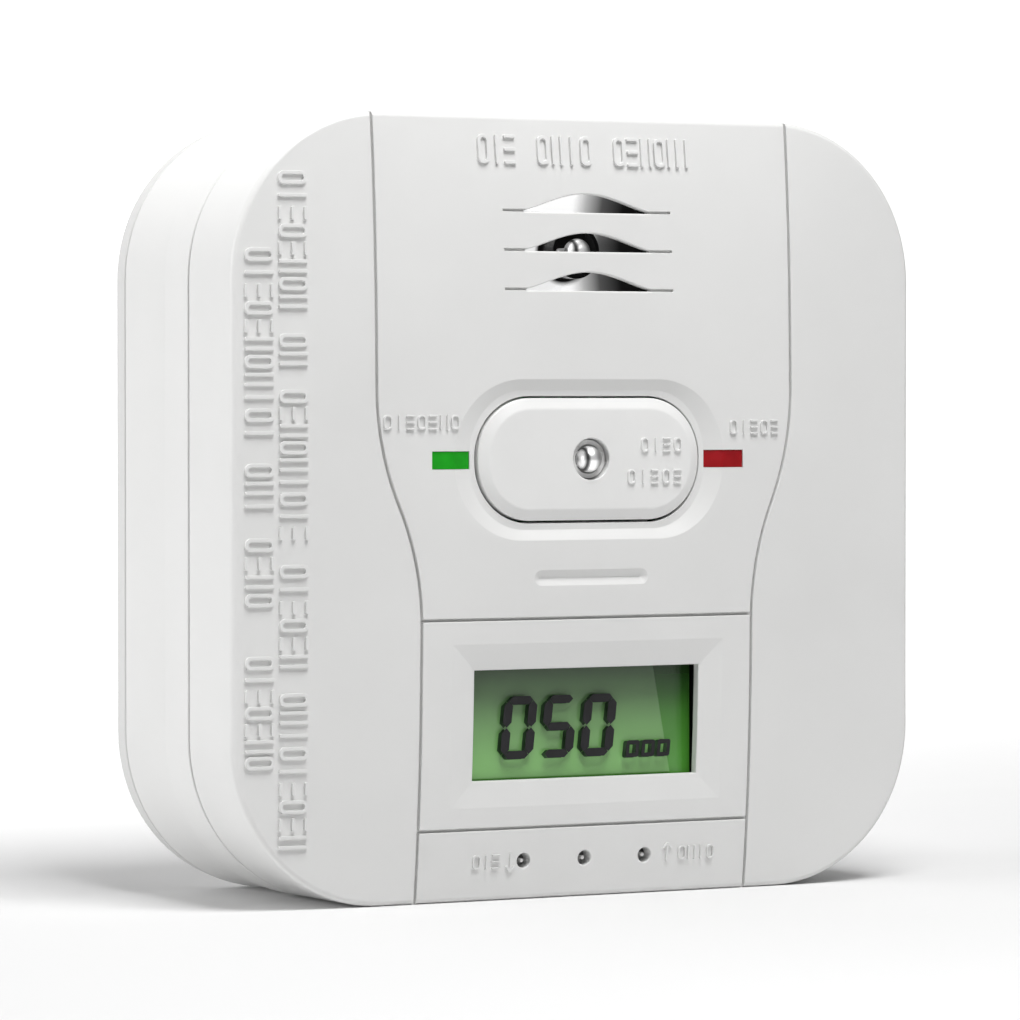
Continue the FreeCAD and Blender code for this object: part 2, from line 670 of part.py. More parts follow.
def main():
    os.makedirs("parts", exist_ok=True)
    save("front_cover", front_cover())
    save("rear_housing", rear_housing())
    save("wall_plate", wall_plate())
    save("test_button", test_button())
    save("power_window", indicator_window(-1))
    save("alarm_window", indicator_window(1))
    for name, sign in (("power_led", -1), ("alarm_led", 1)):
        save(name, box(sign * 21.1 - 1.6, sign * 21.1 + 1.6, 7.8, board_y, button_z - 0.9, button_z + 0.9))
    save("status_lamp", status_lamp())
    save("status_lamp_cup", tube(0, button_z, lamp_radius + 0.85, lamp_radius + 0.25, -1.55, board_y))
    display_parts()
    sounder_parts()
    save("circuit_board", circuit_board())
    save("microcontroller", flat_chip(0.0, -24.0, 10.0, 8))
    save("amplifier_chip", flat_chip(-16.0, -24.0, 5.0, 4))
    save("capacitors", *capacitors())
    save("chip_resistors", *small_parts())
    core, winding = boost_coil()
    save("boost_coil_core", core)
    save("boost_coil_winding", winding)
    tact_body, tact_plunger = tact_switch()
    save("tact_switch_body", tact_body)
    save("tact_switch_plunger", tact_plunger)
    switch_body, switch_slider = power_switch()
    save("power_switch_body", switch_body)
    save("power_switch_slider", switch_slider)
    sensor_parts()
    save("inlet_gauze", box(-13, 13, 1.9, 2.2, -49.4, -45.2))
    for index, name in enumerate(("battery_cell_top", "battery_cell_middle", "battery_cell_bottom")):
        save(name, battery_cell(index))
    save("battery_plus_plates", *plus_plates())
    save("battery_minus_springs", *minus_springs())
    corners = [(x, z) for x in (-boss_at, boss_at) for z in (-boss_at, boss_at)]
    save("case_screws", *[cross_screw(x, z, 18.0, 6.0, 2.6, 1.3, 1.8) for x, z in corners])
    save("board_screws", *[cross_screw(x, z, board_back_y, 4.5, 2.2, 1.0, 1.3) for x, z in post_places])


main()
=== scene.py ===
import math
import bpy
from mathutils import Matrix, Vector


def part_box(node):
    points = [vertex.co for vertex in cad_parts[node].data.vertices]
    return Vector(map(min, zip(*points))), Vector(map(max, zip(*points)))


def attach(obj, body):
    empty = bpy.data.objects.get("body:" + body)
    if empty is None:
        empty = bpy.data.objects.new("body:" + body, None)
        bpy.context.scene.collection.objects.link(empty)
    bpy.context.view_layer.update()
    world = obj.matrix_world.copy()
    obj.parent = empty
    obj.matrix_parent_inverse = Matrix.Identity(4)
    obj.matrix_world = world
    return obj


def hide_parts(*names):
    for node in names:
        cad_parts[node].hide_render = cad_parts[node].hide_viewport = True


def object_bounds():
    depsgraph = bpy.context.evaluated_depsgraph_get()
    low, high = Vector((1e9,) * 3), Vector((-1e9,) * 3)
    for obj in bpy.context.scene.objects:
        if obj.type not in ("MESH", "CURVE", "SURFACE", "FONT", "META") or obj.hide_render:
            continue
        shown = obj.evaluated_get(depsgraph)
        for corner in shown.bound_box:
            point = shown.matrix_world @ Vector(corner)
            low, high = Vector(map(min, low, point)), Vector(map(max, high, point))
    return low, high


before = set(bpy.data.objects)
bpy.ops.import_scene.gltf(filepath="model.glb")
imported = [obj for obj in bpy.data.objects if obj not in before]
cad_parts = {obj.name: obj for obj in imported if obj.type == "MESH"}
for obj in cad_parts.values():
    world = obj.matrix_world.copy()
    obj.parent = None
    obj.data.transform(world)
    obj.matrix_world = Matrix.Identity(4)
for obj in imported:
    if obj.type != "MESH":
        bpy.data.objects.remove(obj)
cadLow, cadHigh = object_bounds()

# A carbon monoxide detector. Pieces are modelled in millimetres about the middle of the face, x to the right,
# y into the case and z up, and settle() then puts them in their place in the frame.
mm = 0.001
plateBack = 36.0                                    # the plate's back, behind the edge of the face
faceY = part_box("wall_plate")[1].y - plateBack * mm
faceZ = (cadLow.z + cadHigh.z) / 2
face = {"half": 52.5, "corner": 22.0, "rim": 0.8, "depth": 12.75, "wall": 1.9, "grid": 3.75,
        "domeRise": 2.64, "domeSpan": 51.5, "backEdge": 0.08}


# working with bpy.ops

def clearPick():
    if bpy.context.mode != "OBJECT":
        bpy.ops.object.mode_set(mode="OBJECT")
    bpy.ops.object.select_all(action="DESELECT")


def work(piece):
    clearPick()
    piece.select_set(True)
    bpy.context.view_layer.objects.active = piece
    return piece


def pick(piece, kind, test):
    work(piece)
    bpy.ops.object.mode_set(mode="EDIT")
    bpy.ops.mesh.select_mode(type=kind)
    bpy.ops.mesh.select_all(action="DESELECT")
    bpy.ops.object.mode_set(mode="OBJECT")
    mesh = piece.data
    if kind == "FACE":
        for side in mesh.polygons:
            side.select = test(side.center, side.normal)
    elif kind == "EDGE":
        for edge in mesh.edges:
            edge.select = test(*(mesh.vertices[i].co for i in edge.vertices))
    else:
        for point in mesh.vertices:
            point.select = test(point.co)
    bpy.ops.object.mode_set(mode="EDIT")             # stays in edit mode with the picked ones selected


def block(name, halfX, halfZ, radius, near, far, x=0.0, z=0.0, steps=20):
    clearPick()
    bpy.ops.mesh.primitive_cube_add(size=1, location=(x, (near + far) / 2, z),
                                    scale=(2 * halfX, far - near, 2 * halfZ))
    piece = bpy.context.object
    piece.name = name
    bpy.ops.object.transform_apply(location=True, rotation=True, scale=True)
    if radius:
        pick(piece, "EDGE", lambda a, b: abs(a.x - b.x) < 0.01 and abs(a.z - b.z) < 0.01)
        bpy.ops.mesh.bevel(offset=radius, segments=steps)
        bpy.ops.object.mode_set(mode="OBJECT")
    return piece


def disc(name, radius, near, far, x=0.0, z=0.0, steps=32):
    clearPick()
    bpy.ops.mesh.primitive_cylinder_add(vertices=steps, radius=radius, depth=far - near,
                                        location=(x, (near + far) / 2, z), rotation=(math.pi / 2, 0, 0))
    piece = bpy.context.object
    piece.name = name
    bpy.ops.object.transform_apply(location=True, rotation=True, scale=True)
    return piece


def shrinkBack(thickness, depth):
    bpy.ops.mesh.inset(thickness=thickness, depth=0, use_even_offset=True)
    bpy.ops.transform.translate(value=(0, depth, 0))


# from the back faces at y: a rounded lip, then straight in to the depth
def sinkBack(piece, y, lip, depth, lipSteps=3):
    pick(piece, "FACE", lambda c, n: abs(c.y - y) < 0.001 and abs(n.y) > 0.9)
    for step in range(lipSteps):
        a, b = (math.pi / 2 * k / lipSteps for k in (step, step + 1))
        shrinkBack(lip * (math.sin(b) - math.sin(a)), lip * (math.cos(a) - math.cos(b)))
    bpy.ops.mesh.extrude_region_move(TRANSFORM_OT_translate={"value": (0, depth - lip, 0)})
    bpy.ops.mesh.select_all(action="SELECT")
    bpy.ops.mesh.normals_make_consistent(inside=False)
    bpy.ops.object.mode_set(mode="OBJECT")
    return piece


def gridCut(piece, pitch):
    work(piece)
    bpy.ops.object.mode_set(mode="EDIT")
    count = int(face["half"] / pitch)
    for normal in ((1, 0, 0), (0, 0, 1)):
        for step in range(-count, count + 1):
            bpy.ops.mesh.select_all(action="SELECT")
            where = Vector(normal) * (step * pitch + 0.013)
            bpy.ops.mesh.bisect(plane_co=where, plane_no=normal, threshold=0.0001)
    bpy.ops.object.mode_set(mode="OBJECT")


def joined(name, pieces):
    clearPick()
    for piece in pieces:
        piece.select_set(True)
    bpy.context.view_layer.objects.active = pieces[0]
    bpy.ops.object.join()
    pieces[0].name = name
    return pieces[0]


def combine(piece, cutter, operation="DIFFERENCE"):
    work(piece)
    bpy.ops.object.modifier_add(type="BOOLEAN")
    modifier = piece.modifiers[-1]
    modifier.operation = operation
    modifier.solver = "EXACT"
    modifier.object = cutter
    bpy.ops.object.modifier_apply(modifier=modifier.name)
    bpy.data.objects.remove(cutter, do_unlink=True)
    return piece


def dome(x, z):
    return -face["domeRise"] * (1 - (x / face["domeSpan"]) ** 2) * (1 - abs(z / face["domeSpan"]) ** 3)


# push the flat face out to its dome; what lies deeper in the case stays
def bendToDome(piece, full=2.6, none=8.0):
    for point in piece.data.vertices:
        share = min(1.0, max(0.0, (none - point.co.y) / (none - full)))
        point.co.y += dome(point.co.x, point.co.z) * share


def smooth(piece, angle=35.0):
    work(piece)
    bpy.ops.object.shade_smooth_by_angle(angle=math.radians(angle))
    bpy.ops.object.modifier_add(type="WEIGHTED_NORMAL")
    piece.modifiers[-1].keep_sharp = True
    bpy.ops.object.modifier_apply(modifier=piece.modifiers[-1].name)
    return piece


def settle(piece, body, slotName, material, *standsFor):
    work(piece)
    piece.scale = (mm, mm, mm)
    piece.location = (0, faceY, faceZ)
    bpy.ops.object.transform_apply(location=True, rotation=True, scale=True)
    piece.data.materials.clear()
    piece.data.materials.append(material)
    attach(piece, body)
    if standsFor:
        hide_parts(*standsFor)
    return piece


# front cover
grooves = {"wideX": 32.07, "narrowX": 25.55, "topZ": 16.0, "lowZ": -15.5, "width": 0.4, "depth": 0.7,
           "lip": 0.12, "panelZ": (-14.8, -42.8), "arcSteps": 18}
recess = {"z": 6.4, "half": (20.8, 10.75), "radius": 10.2, "slope": 1.4, "sideSlope": 2.6, "depth": 0.85,
          "hole": (17.4, 8.5), "holeRadius": 8.2, "holeLip": 0.1, "edge": 0.1}
slots = {"baseline": (39.5, 34.25, 29.0), "half": 9.6, "lineHalf": 13.0, "lineHeight": 0.34, "rise": 2.5,
         "foot": 0.16, "swell": 1.25, "lip": 0.2, "steps": 36, "lineLip": 0.08, "lineDepth": 0.45}
bezel = {"half": 20.9, "low": -39.9, "high": -18.05, "border": 3.5, "slope": 0.65, "lip": 0.1, "edge": 0.07}
inlets = {"x": (-9.4, 0.0, 9.4), "z": -47.25, "radius": 1.0, "lip": 0.15, "pinRadius": 0.28,
          "pinY": (0.55, 2.6), "pinEdge": 0.08}
fingerGroove = {"z": -9.4, "half": (8.85, 1.1), "depth": 0.55, "floor": 0.22}
windows = {"x": (18.15, 24.1), "z": (5.2, 7.6), "gap": 0.04, "sunk": 0.14}
# horn dark: the radii over which the painted shade round the horn's middle fades out
horn = {"z": 34.3, "radius": 13.9, "pocketRadius": 14.2, "pocketY": (1.2, 6), "dark": (3.9, 4.6)}


# one waisted line down the face: straight, two equal arcs, straight
def waistGroove(side):
    g = grooves
    wide = g["width"] / 2 + g["lip"]
    shift = g["wideX"] - g["narrowX"]
    drop = g["topZ"] - g["lowZ"]
    radius = (shift ** 2 + drop ** 2) / (4 * shift)
    turn = math.asin(drop / 2 / radius)
    clearPick()
    top = face["half"] + 2
    bpy.ops.mesh.primitive_plane_add(size=1, location=(g["wideX"], -1, (top + g["topZ"]) / 2),
                                     rotation=(math.pi / 2, 0, 0))
    strip = bpy.context.object
    strip.scale = (2 * wide, top - g["topZ"], 1)
    bpy.ops.object.transform_apply(location=True, rotation=True, scale=True)
    pick(strip, "EDGE", lambda a, b: abs(a.z - g["topZ"]) < 0.01 and abs(b.z - g["topZ"]) < 0.01)
    upper = (g["wideX"] - radius, -1, g["topZ"])
    lower = (g["narrowX"] + radius, -1, g["lowZ"])
    for centre, angle in ((upper, -turn), (lower, turn)):
        bpy.ops.mesh.spin(steps=g["arcSteps"], angle=angle, center=centre, axis=(0, 1, 0))
    bpy.ops.mesh.extrude_region_move(TRANSFORM_OT_translate={"value": (0, 0, -top - g["lowZ"])})
    bpy.ops.mesh.select_all(action="SELECT")
    bpy.ops.mesh.extrude_region_move(TRANSFORM_OT_translate={"value": (0, 1, 0)})
    bpy.ops.object.mode_set(mode="OBJECT")
    if side < 0:
        for point in strip.data.vertices:
            point.co.x = -point.co.x
    return sinkBack(strip, 0, g["lip"], g["depth"])


def lineCutter(halfX, height, z, lip, depth):
    strip = block("line", halfX + lip, height / 2 + lip, 0, -1, 0, z=z)
    return sinkBack(strip, 0, lip, depth)


# opening with a flat sill and a swelling upper lip
def slotCutter(z):
    s = slots
    clearPick()
    bpy.ops.mesh.primitive_grid_add(x_subdivisions=s["steps"], y_subdivisions=1, size=2, location=(0, -1, 0),
                                    rotation=(math.pi / 2, 0, 0))
    opening = bpy.context.object
    bpy.ops.object.transform_apply(location=True, rotation=True, scale=True)
    for point in opening.data.vertices:
        t = point.co.x
        upper = s["foot"] + (s["rise"] - s["foot"]) * max(0, math.cos(math.pi * t / 2)) ** s["swell"] + s["lip"]
        point.co.z = z + (upper if point.co.z > 0 else -s["lip"])
        point.co.x = t * (s["half"] + s["lip"])
    pick(opening, "FACE", lambda c, n: True)
    bpy.ops.mesh.extrude_region_move(TRANSFORM_OT_translate={"value": (0, 1, 0)})
    return sinkBack(opening, 0, s["lip"], 5.0)


def recessCutter():
    r = recess
    cutter = block("recess", *r["half"], r["radius"], -1, 0, z=r["z"], steps=28)
    pick(cutter, "FACE", lambda c, n: n.y > 0.9)
    shrinkBack(r["slope"], r["depth"])
    narrow = (r["half"][0] - r["sideSlope"]) / (r["half"][0] - r["slope"])
    bpy.ops.transform.resize(value=(narrow, 1, 1), center_override=(0, 0, r["z"]))
    bpy.ops.object.mode_set(mode="OBJECT")
    halfX, halfZ, radius = (size + r["holeLip"] for size in (*r["hole"], r["holeRadius"]))
    hole = block("hole", halfX, halfZ, radius, -2, r["depth"], z=r["z"], steps=28)
    sinkBack(hole, r["depth"], r["holeLip"], 5.0)
    return cutter, hole


def bezelCutter():
    b = bezel
    middle = (b["low"] + b["high"]) / 2
    cutter = block("bezel", b["half"], (b["high"] - b["low"]) / 2, 0, -1, 0, z=middle)
    pick(cutter, "FACE", lambda c, n: n.y > 0.9)
    shrinkBack(b["border"] - b["lip"], b["slope"])
    shrinkBack(b["lip"], b["lip"])
    bpy.ops.mesh.extrude_region_move(TRANSFORM_OT_translate={"value": (0, 5, 0)})
    bpy.ops.object.mode_set(mode="OBJECT")
    return cutter


def grooveCutter():
    f = fingerGroove
    cutter = block("fingerGroove", *f["half"], f["half"][1] - 0.01, -1, 0, z=f["z"], steps=10)
    pick(cutter, "FACE", lambda c, n: n.y > 0.9)
    shrinkBack(0.1, 0.03)
    shrinkBack(f["half"][1] - f["floor"], f["depth"] - 0.05)
    shrinkBack(0.08, 0.02)
    bpy.ops.object.mode_set(mode="OBJECT")
    return cutter


# a crisp, slightly rounded edge all round the picked faces
def crease(piece, test, bevel):
    pick(piece, "FACE", test)
    bpy.ops.mesh.region_to_loop()
    bpy.ops.mesh.bevel(offset=bevel, segments=2)
    bpy.ops.object.mode_set(mode="OBJECT")


def inRecessSlope(c, n):
    r = recess
    near = abs(c.x) < r["half"][0] + 0.1 and abs(c.z - r["z"]) < r["half"][1] + 0.1
    return near and 0.01 < c.y < r["depth"] - 0.01 and -0.99 < n.y < -0.5


def inBezelSlope(c, n):
    b = bezel
    return abs(c.x) < b["half"] and b["low"] < c.z < b["high"] and -0.995 < n.y < -0.9 and c.y < b["slope"]


def isMitre(p, q):
    b = bezel
    inside = all(abs(c.x) < b["half"] + 0.1 and b["low"] - 0.1 < c.z < b["high"] + 0.1 for c in (p, q))
    lean = min(abs(p.x - q.x), abs(p.z - q.z)) > 1 and abs(p.y - q.y) > 0.2
    return inside and lean and max(p.y, q.y) < b["slope"] + 0.1


def makeCover():
    f = face
    cover = block("frontCover", f["half"], f["half"], f["corner"], 0, f["depth"], steps=30)
    pick(cover, "EDGE", lambda a, b: a.y < 0.01 and b.y < 0.01)
    bpy.ops.mesh.bevel(offset=f["rim"], segments=5)
    pick(cover, "EDGE", lambda a, b: a.y > f["depth"] - 0.01 and b.y > f["depth"] - 0.01)
    bpy.ops.mesh.bevel(offset=f["backEdge"], segments=2)
    inner = f["half"] - f["wall"]
    combine(cover, block("cavity", inner, inner, f["corner"] - f["wall"], f["wall"], 20, steps=30))
    combine(cover, disc("hornPocket", horn["pocketRadius"], *horn["pocketY"], z=horn["z"]))
    print("cover: shell")
    cutter, hole = recessCutter()
    combine(cover, joined("cutters", [cutter, bezelCutter(), grooveCutter()]))
    combine(cover, joined("cutters", [hole] + [slotCutter(z) for z in slots["baseline"]]))
    mouth = inlets["radius"] + inlets["lip"]
    holes = [sinkBack(disc("inlet", mouth, -1, 0, x=x, z=inlets["z"]), 0, inlets["lip"], 5)
             for x in inlets["x"]]
    lines = [lineCutter(grooves["narrowX"], grooves["width"], z, grooves["lip"], grooves["depth"])
             for z in grooves["panelZ"]]
    lines += [lineCutter(slots["lineHalf"], slots["lineHeight"], z + slots["lineHeight"] / 2, slots["lineLip"],
                         slots["lineDepth"]) for z in slots["baseline"]]
    combine(cover, joined("cutters", holes + lines))
    combine(cover, joined("cutters", [waistGroove(1), waistGroove(-1)]))
    crease(cover, inRecessSlope, recess["edge"])
    crease(cover, inBezelSlope, bezel["edge"])
    pick(cover, "EDGE", isMitre)
    bpy.ops.mesh.mark_sharp()
    gridCut(cover, f["grid"])
    pins = [disc("pin", inlets["pinRadius"], *inlets["pinY"], x=x, z=inlets["z"], steps=16)
            for x in inlets["x"]]
    for pin in pins:
        pick(pin, "FACE", lambda c, n: n.y < -0.9)
        bpy.ops.mesh.bevel(offset=inlets["pinEdge"], segments=2)
        bpy.ops.object.mode_set(mode="OBJECT")
    print("cover: openings and grooves")
    lenses = []
    for side in (-1, 1):
        middle = side * sum(windows["x"]) / 2
        halfX = (windows["x"][1] - windows["x"][0]) / 2
        halfZ = (windows["z"][1] - windows["z"][0]) / 2
        z = sum(windows["z"]) / 2
        work(cover)
        bpy.ops.object.duplicate()
        lens = bpy.context.object
        plan = block("lensPlan", halfX - windows["gap"], halfZ - windows["gap"], 0, -2, 5, x=middle, z=z)
        combine(lens, plan, "INTERSECT")
        combine(cover, block("lensHole", halfX, halfZ, 0, -2, 5, x=middle, z=z))
        bendToDome(lens)
        for point in lens.data.vertices:
            point.co.y += windows["sunk"]
        lenses.append(lens)
    joined("frontCover", [cover] + pins)
    bendToDome(cover)
    smooth(cover)
    return cover, lenses


cover, lenses = makeCover()
print("cover faces", len(cover.data.polygons))


# test button

def makeButton():
    b = button
    cap = block("testButton", *b["half"], b["radius"], b["shoulderY"], b["skirtY"], z=b["z"], steps=26)
    pick(cap, "FACE", lambda c, n: n.y < -0.9)
    bpy.ops.mesh.inset(thickness=b["edge"], depth=0, use_even_offset=True)
    bpy.ops.transform.translate(value=(0, b["frontY"] - b["shoulderY"], 0))
    bpy.ops.mesh.region_to_loop()
    bpy.ops.mesh.bevel(offset=b["topEdge"], segments=3)
    pick(cap, "EDGE", lambda p, q: max(abs(p.y - b["shoulderY"]), abs(q.y - b["shoulderY"])) < 0.01)
    bpy.ops.mesh.bevel(offset=b["shoulderEdge"], segments=3)
    bpy.ops.object.mode_set(mode="OBJECT")
    halfX, halfZ = (h - b["wall"] for h in b["half"])
    hollow = block("hollow", halfX, halfZ, b["radius"] - b["wall"], b["frontY"] + b["wall"], 5, z=b["z"],
                   steps=16)
    combine(cap, hollow)
    for x, radius, far in ((0, b["hole"] + 1, b["skirtY"]), (b["postX"], b["postRadius"], b["postY"])):
        combine(cap, disc("stem", radius, b["frontY"] + 1.2, far, x=x, z=b["z"]), "UNION")
    for sign in (-1, 1):
        stop = block("stop", *b["stopHalf"], 0, b["stopY"], b["skirtY"], z=b["z"] + sign * b["stopZ"])
        combine(cap, stop, "UNION")
    hole = disc("hole", b["hole"] + b["lip"], -5, b["frontY"], z=b["z"], steps=48)
    combine(cap, sinkBack(hole, b["frontY"], b["lip"], 6, 4))
    return smooth(cap, 28)


button = {"z": 6.45, "half": (17.05, 8.2), "radius": 7.9, "frontY": -2.45, "shoulderY": -1.8, "edge": 1.5,
          "skirtY": 1.0, "wall": 1.6, "hole": 2.78, "lip": 0.2, "postX": 9.0, "postRadius": 2.0, "postY": 3.72,
          "topEdge": 0.22, "shoulderEdge": 0.14, "stopHalf": (10, 0.6), "stopY": -0.3, "stopZ": 9.0}
testButton = makeButton()
print("button faces", len(testButton.data.polygons))


# raised marks: plain upright shapes in word-long groups, where such a case has its raised lettering
marks = {"stroke": 0.115, "relief": 0.4, "lowRelief": 0.32, "arrowRelief": 0.27, "sunk": 0.35, "edge": 0.07,
         "pattern": ("frame", "rails", "bar", "frame", "stack", "rails", "frame", "bar", "stack"),
         "big": (3.9, 1.75, 2.25), "side": (4.1, 1.75, 2.3), "small": (1.95, 1.2, 1.7),
         "button": (1.95, 1.2, 1.75), "arrows": ((-11.45, -47.4, -1), (12.9, -47.0, 1)),
         "arrowLength": 2.6, "arrowHead": (0.16, 0.52, 0.33, 0.42)}
bigRows = ({"z": 47.8, "spans": ((-16.6, -10.6), (-7.65, 1.2), (4.2, 16.9))},)
sideRows = ({"x": -48.72, "spans": ((34.5, 8.95), (6.4, -0.6), (-3.3, -12.9), (-18.8, -34.0))},
            {"x": -43.93, "spans": ((44.6, 26.1), (23.4, 18.6), (16.0, -4.1), (-6.8, -20.9), (-23.6, -44.6))})
smallRows = ({"z": 11.45, "spans": ((-31.4, -19.9),)}, {"z": 10.7, "spans": ((21.65, 30.1),)},
             {"z": -47.2, "spans": ((-17.4, -13.0), (14.5, 20.5))})
buttonRows = ({"z": 8.35, "spans": ((7.4, 14.3),)}, {"z": 4.05, "spans": ((5.3, 14.3),)})
models = {}


def stroke(halfX, halfZ, x=0.0, z=0.0, relief=marks["relief"]):
    piece = block("stroke", halfX, halfZ, min(halfX, halfZ) * 0.8, -relief, marks["sunk"], x=x, z=z, steps=3)
    pick(piece, "EDGE", lambda p, q: max(abs(p.y + relief), abs(q.y + relief)) < 0.001)
    bpy.ops.mesh.bevel(offset=marks["edge"], segments=2)
    bpy.ops.object.mode_set(mode="OBJECT")
    return piece


# one shape, made once for each size; the rows copy it
def markModel(kind, height, width, relief):
    key = (kind, height, width)
    if key not in models:
        half = height * marks["stroke"] / 2
        if kind == "frame":
            piece = block("frame", width / 2, height / 2, width * 0.45, -relief, marks["sunk"], steps=6)
            inside = (width / 2 - 2 * half, height / 2 - 2 * half)
            combine(piece, block("inside", *inside, inside[0] * 0.9, -1, 1, steps=6))
            pick(piece, "EDGE", lambda p, q: max(abs(p.y + relief), abs(q.y + relief)) < 0.001)
            bpy.ops.mesh.bevel(offset=marks["edge"], segments=2)
            bpy.ops.object.mode_set(mode="OBJECT")
        elif kind == "bar":
            piece = stroke(half, height / 2, relief=relief)
        elif kind == "rails":
            piece = joined("rails", [stroke(half, height / 2, x=x, relief=relief)
                                     for x in (half - width / 2, width / 2 - half)])
        else:
            piece = joined("stack", [stroke(width / 2, half, z=z, relief=relief)
                                     for z in (half - height / 2, 0, height / 2 - half)])
        models[key] = piece
    return models[key]


def copyOf(model, x, z, turn=0.0, y=0.0):
    work(model)
    bpy.ops.object.duplicate()
    piece = bpy.context.object
    piece.location = (x, y, z)
    piece.rotation_euler = (0, turn, 0)
    bpy.ops.object.transform_apply(location=True, rotation=True, scale=True)
    return piece


def markRow(spans, across, height, width, pitch, upright=False, relief=marks["relief"], y=0.0):
    placed = []
    for order, (start, end) in enumerate(spans):
        count = max(1, round(abs(end - start) / pitch))
        step = (end - start) / count
        for index in range(count):
            along = start + step * (index + 0.5)
            kind = marks["pattern"][(index * 2 + order * 3) % len(marks["pattern"])]
            model = markModel(kind, height, width, relief)
            x, z = (across, along) if upright else (along, across)
            placed.append(copyOf(model, x, z, -math.pi / 2 if upright else 0, y))
    return placed


def arrow(x, z, way):
    length, relief = marks["arrowLength"], marks["arrowRelief"]
    halfWide, halfLong, apart, back = marks["arrowHead"]
    shaft = stroke(0.17, length / 2, x=x, z=z, relief=relief)
    head = []
    for side in (-1, 1):
        wing = stroke(halfWide, halfLong, relief=relief)
        wing.rotation_euler = (0, side * way * math.radians(38), 0)
        wing.location = (x - side * apart, 0, z + way * (length / 2 - back))
        work(wing)
        bpy.ops.object.transform_apply(location=True, rotation=True, scale=True)
        head.append(wing)
    return [shaft] + head


placed = []
for rowOfMarks in bigRows:
    placed += markRow(rowOfMarks["spans"], rowOfMarks["z"], *marks["big"])
for rowOfMarks in sideRows:
    placed += markRow(rowOfMarks["spans"], rowOfMarks["x"], *marks["side"], upright=True)
for rowOfMarks in smallRows:
    placed += markRow(rowOfMarks["spans"], rowOfMarks["z"], *marks["small"], relief=marks["lowRelief"])
for place in marks["arrows"]:
    placed += arrow(*place)
faceMarks = joined("faceMarks", placed)
for point in faceMarks.data.vertices:
    point.co.y += dome(point.co.x, point.co.z)
placed = []
for rowOfMarks in buttonRows:
    placed += markRow(rowOfMarks["spans"], rowOfMarks["z"], *marks["button"], relief=marks["lowRelief"],
                      y=button["frontY"])
buttonMarks = joined("buttonMarks", placed)
for model in models.values():
    bpy.data.objects.remove(model, do_unlink=True)
for piece in (faceMarks, buttonMarks):
    smooth(piece, 40)
print("marks faces", len(faceMarks.data.polygons), len(buttonMarks.data.polygons))


# display
display = {"half": 17.85, "z": (-36.95, -20.9), "panelY": (1.6, 3.1), "segmentY": (0.72, 0.8),
           "shadowY": (1.575, 1.61), "digitX": (-12.35, -6.17, 0.0), "lowZ": -33.7, "digit": (5.05, 8.4),
           "lean": 6.1, "thick": (1.3, 1.1), "split": 0.05, "lit": ("abcdef", "acdfg", "abcdef"),
           "unit": {"x": 8.3, "z": -32.9, "pitch": 2.45, "half": (1.0, 1.15), "inside": (0.5, 0.6)}}


# a bar with two pointed ends, lying along x
def segment(name, length, thick):
    piece = block(name, length / 2, thick / 2, 0, *display["segmentY"])
    for point in piece.data.vertices:
        point.co.x -= math.copysign(thick / 2, point.co.x)
    work(piece)
    bpy.ops.object.mode_set(mode="EDIT")
    bpy.ops.mesh.select_all(action="SELECT")
    bpy.ops.mesh.bisect(plane_co=(0, 0, 0), plane_no=(0, 0, 1))
    bpy.ops.object.mode_set(mode="OBJECT")
    for point in piece.data.vertices:
        if abs(point.co.z) < 0.001:
            point.co.x += math.copysign(thick / 2, point.co.x)
    return piece


def makeDigit(lit, left):
    d = display
    width, height = d["digit"]
    upright, level = d["thick"]
    flat = segment("level", width - upright - 2 * d["split"], level)
    tall = segment("upright", (height - level) / 2 - 2 * d["split"], upright)
    mid = (upright / 2, width - upright / 2)
    ends = (level / 2, height / 2, height - level / 2)
    lower, upper = (ends[0] + ends[1]) / 2, (ends[1] + ends[2]) / 2
    places = {"a": (width / 2, ends[2]), "g": (width / 2, ends[1]), "d": (width / 2, ends[0]),
              "b": (mid[1], upper), "c": (mid[1], lower), "e": (mid[0], lower), "f": (mid[0], upper)}
    bars = [copyOf(flat if key in "agd" else tall, *places[key], 0 if key in "agd" else math.pi / 2)
            for key in lit]
    for model in (flat, tall):
        bpy.data.objects.remove(model, do_unlink=True)
    digit = joined("digit", bars)
    for point in digit.data.vertices:
        point.co.x += left + point.co.z * math.tan(math.radians(d["lean"]))
        point.co.z += d["lowZ"]
    return digit


def makeDisplay():
    d = display
    low, high = d["z"]
    panel = block("displayPanel", d["half"], (high - low) / 2, 0.4, *d["panelY"], z=(low + high) / 2, steps=4)
    pick(panel, "EDGE", lambda p, q: max(p.y, q.y) < d["panelY"][0] + 0.01)
    bpy.ops.mesh.bevel(offset=0.12, segments=2)
    bpy.ops.object.mode_set(mode="OBJECT")
    digits = [makeDigit(lit, x) for lit, x in zip(d["lit"], d["digitX"])]
    u = d["unit"]
    for step in range(3):                              # three plain frames in place of the unit
        x = u["x"] + u["pitch"] * step
        unit = block("unit", *u["half"], 0.3, *d["segmentY"], x=x, z=u["z"], steps=2)
        combine(unit, block("inside", *u["inside"], 0, 0, 2, x=x, z=u["z"]))
        for point in unit.data.vertices:
            point.co.x += (point.co.z - u["z"]) * math.tan(math.radians(d["lean"]))
        digits.append(unit)
    digits = joined("displaySegments", digits)
    # painted shadow: a dark-green copy of the segments on the panel just behind them, shifted down and left
    work(digits)
    bpy.ops.object.duplicate()
    shade = bpy.context.object
    shade.name = "displayShadows"
    front, back = d["segmentY"]
    for point in shade.data.vertices:
        point.co.y = d["shadowY"][0] if point.co.y < (front + back) / 2 else d["shadowY"][1]
        point.co.z -= 0.12
        point.co.x -= 0.05
    for piece in (panel, digits, shade):
        smooth(piece, 30)
    return panel, digits, shade


displayPanel, displaySegments, displayShadows = makeDisplay()
print("display made")


# materials

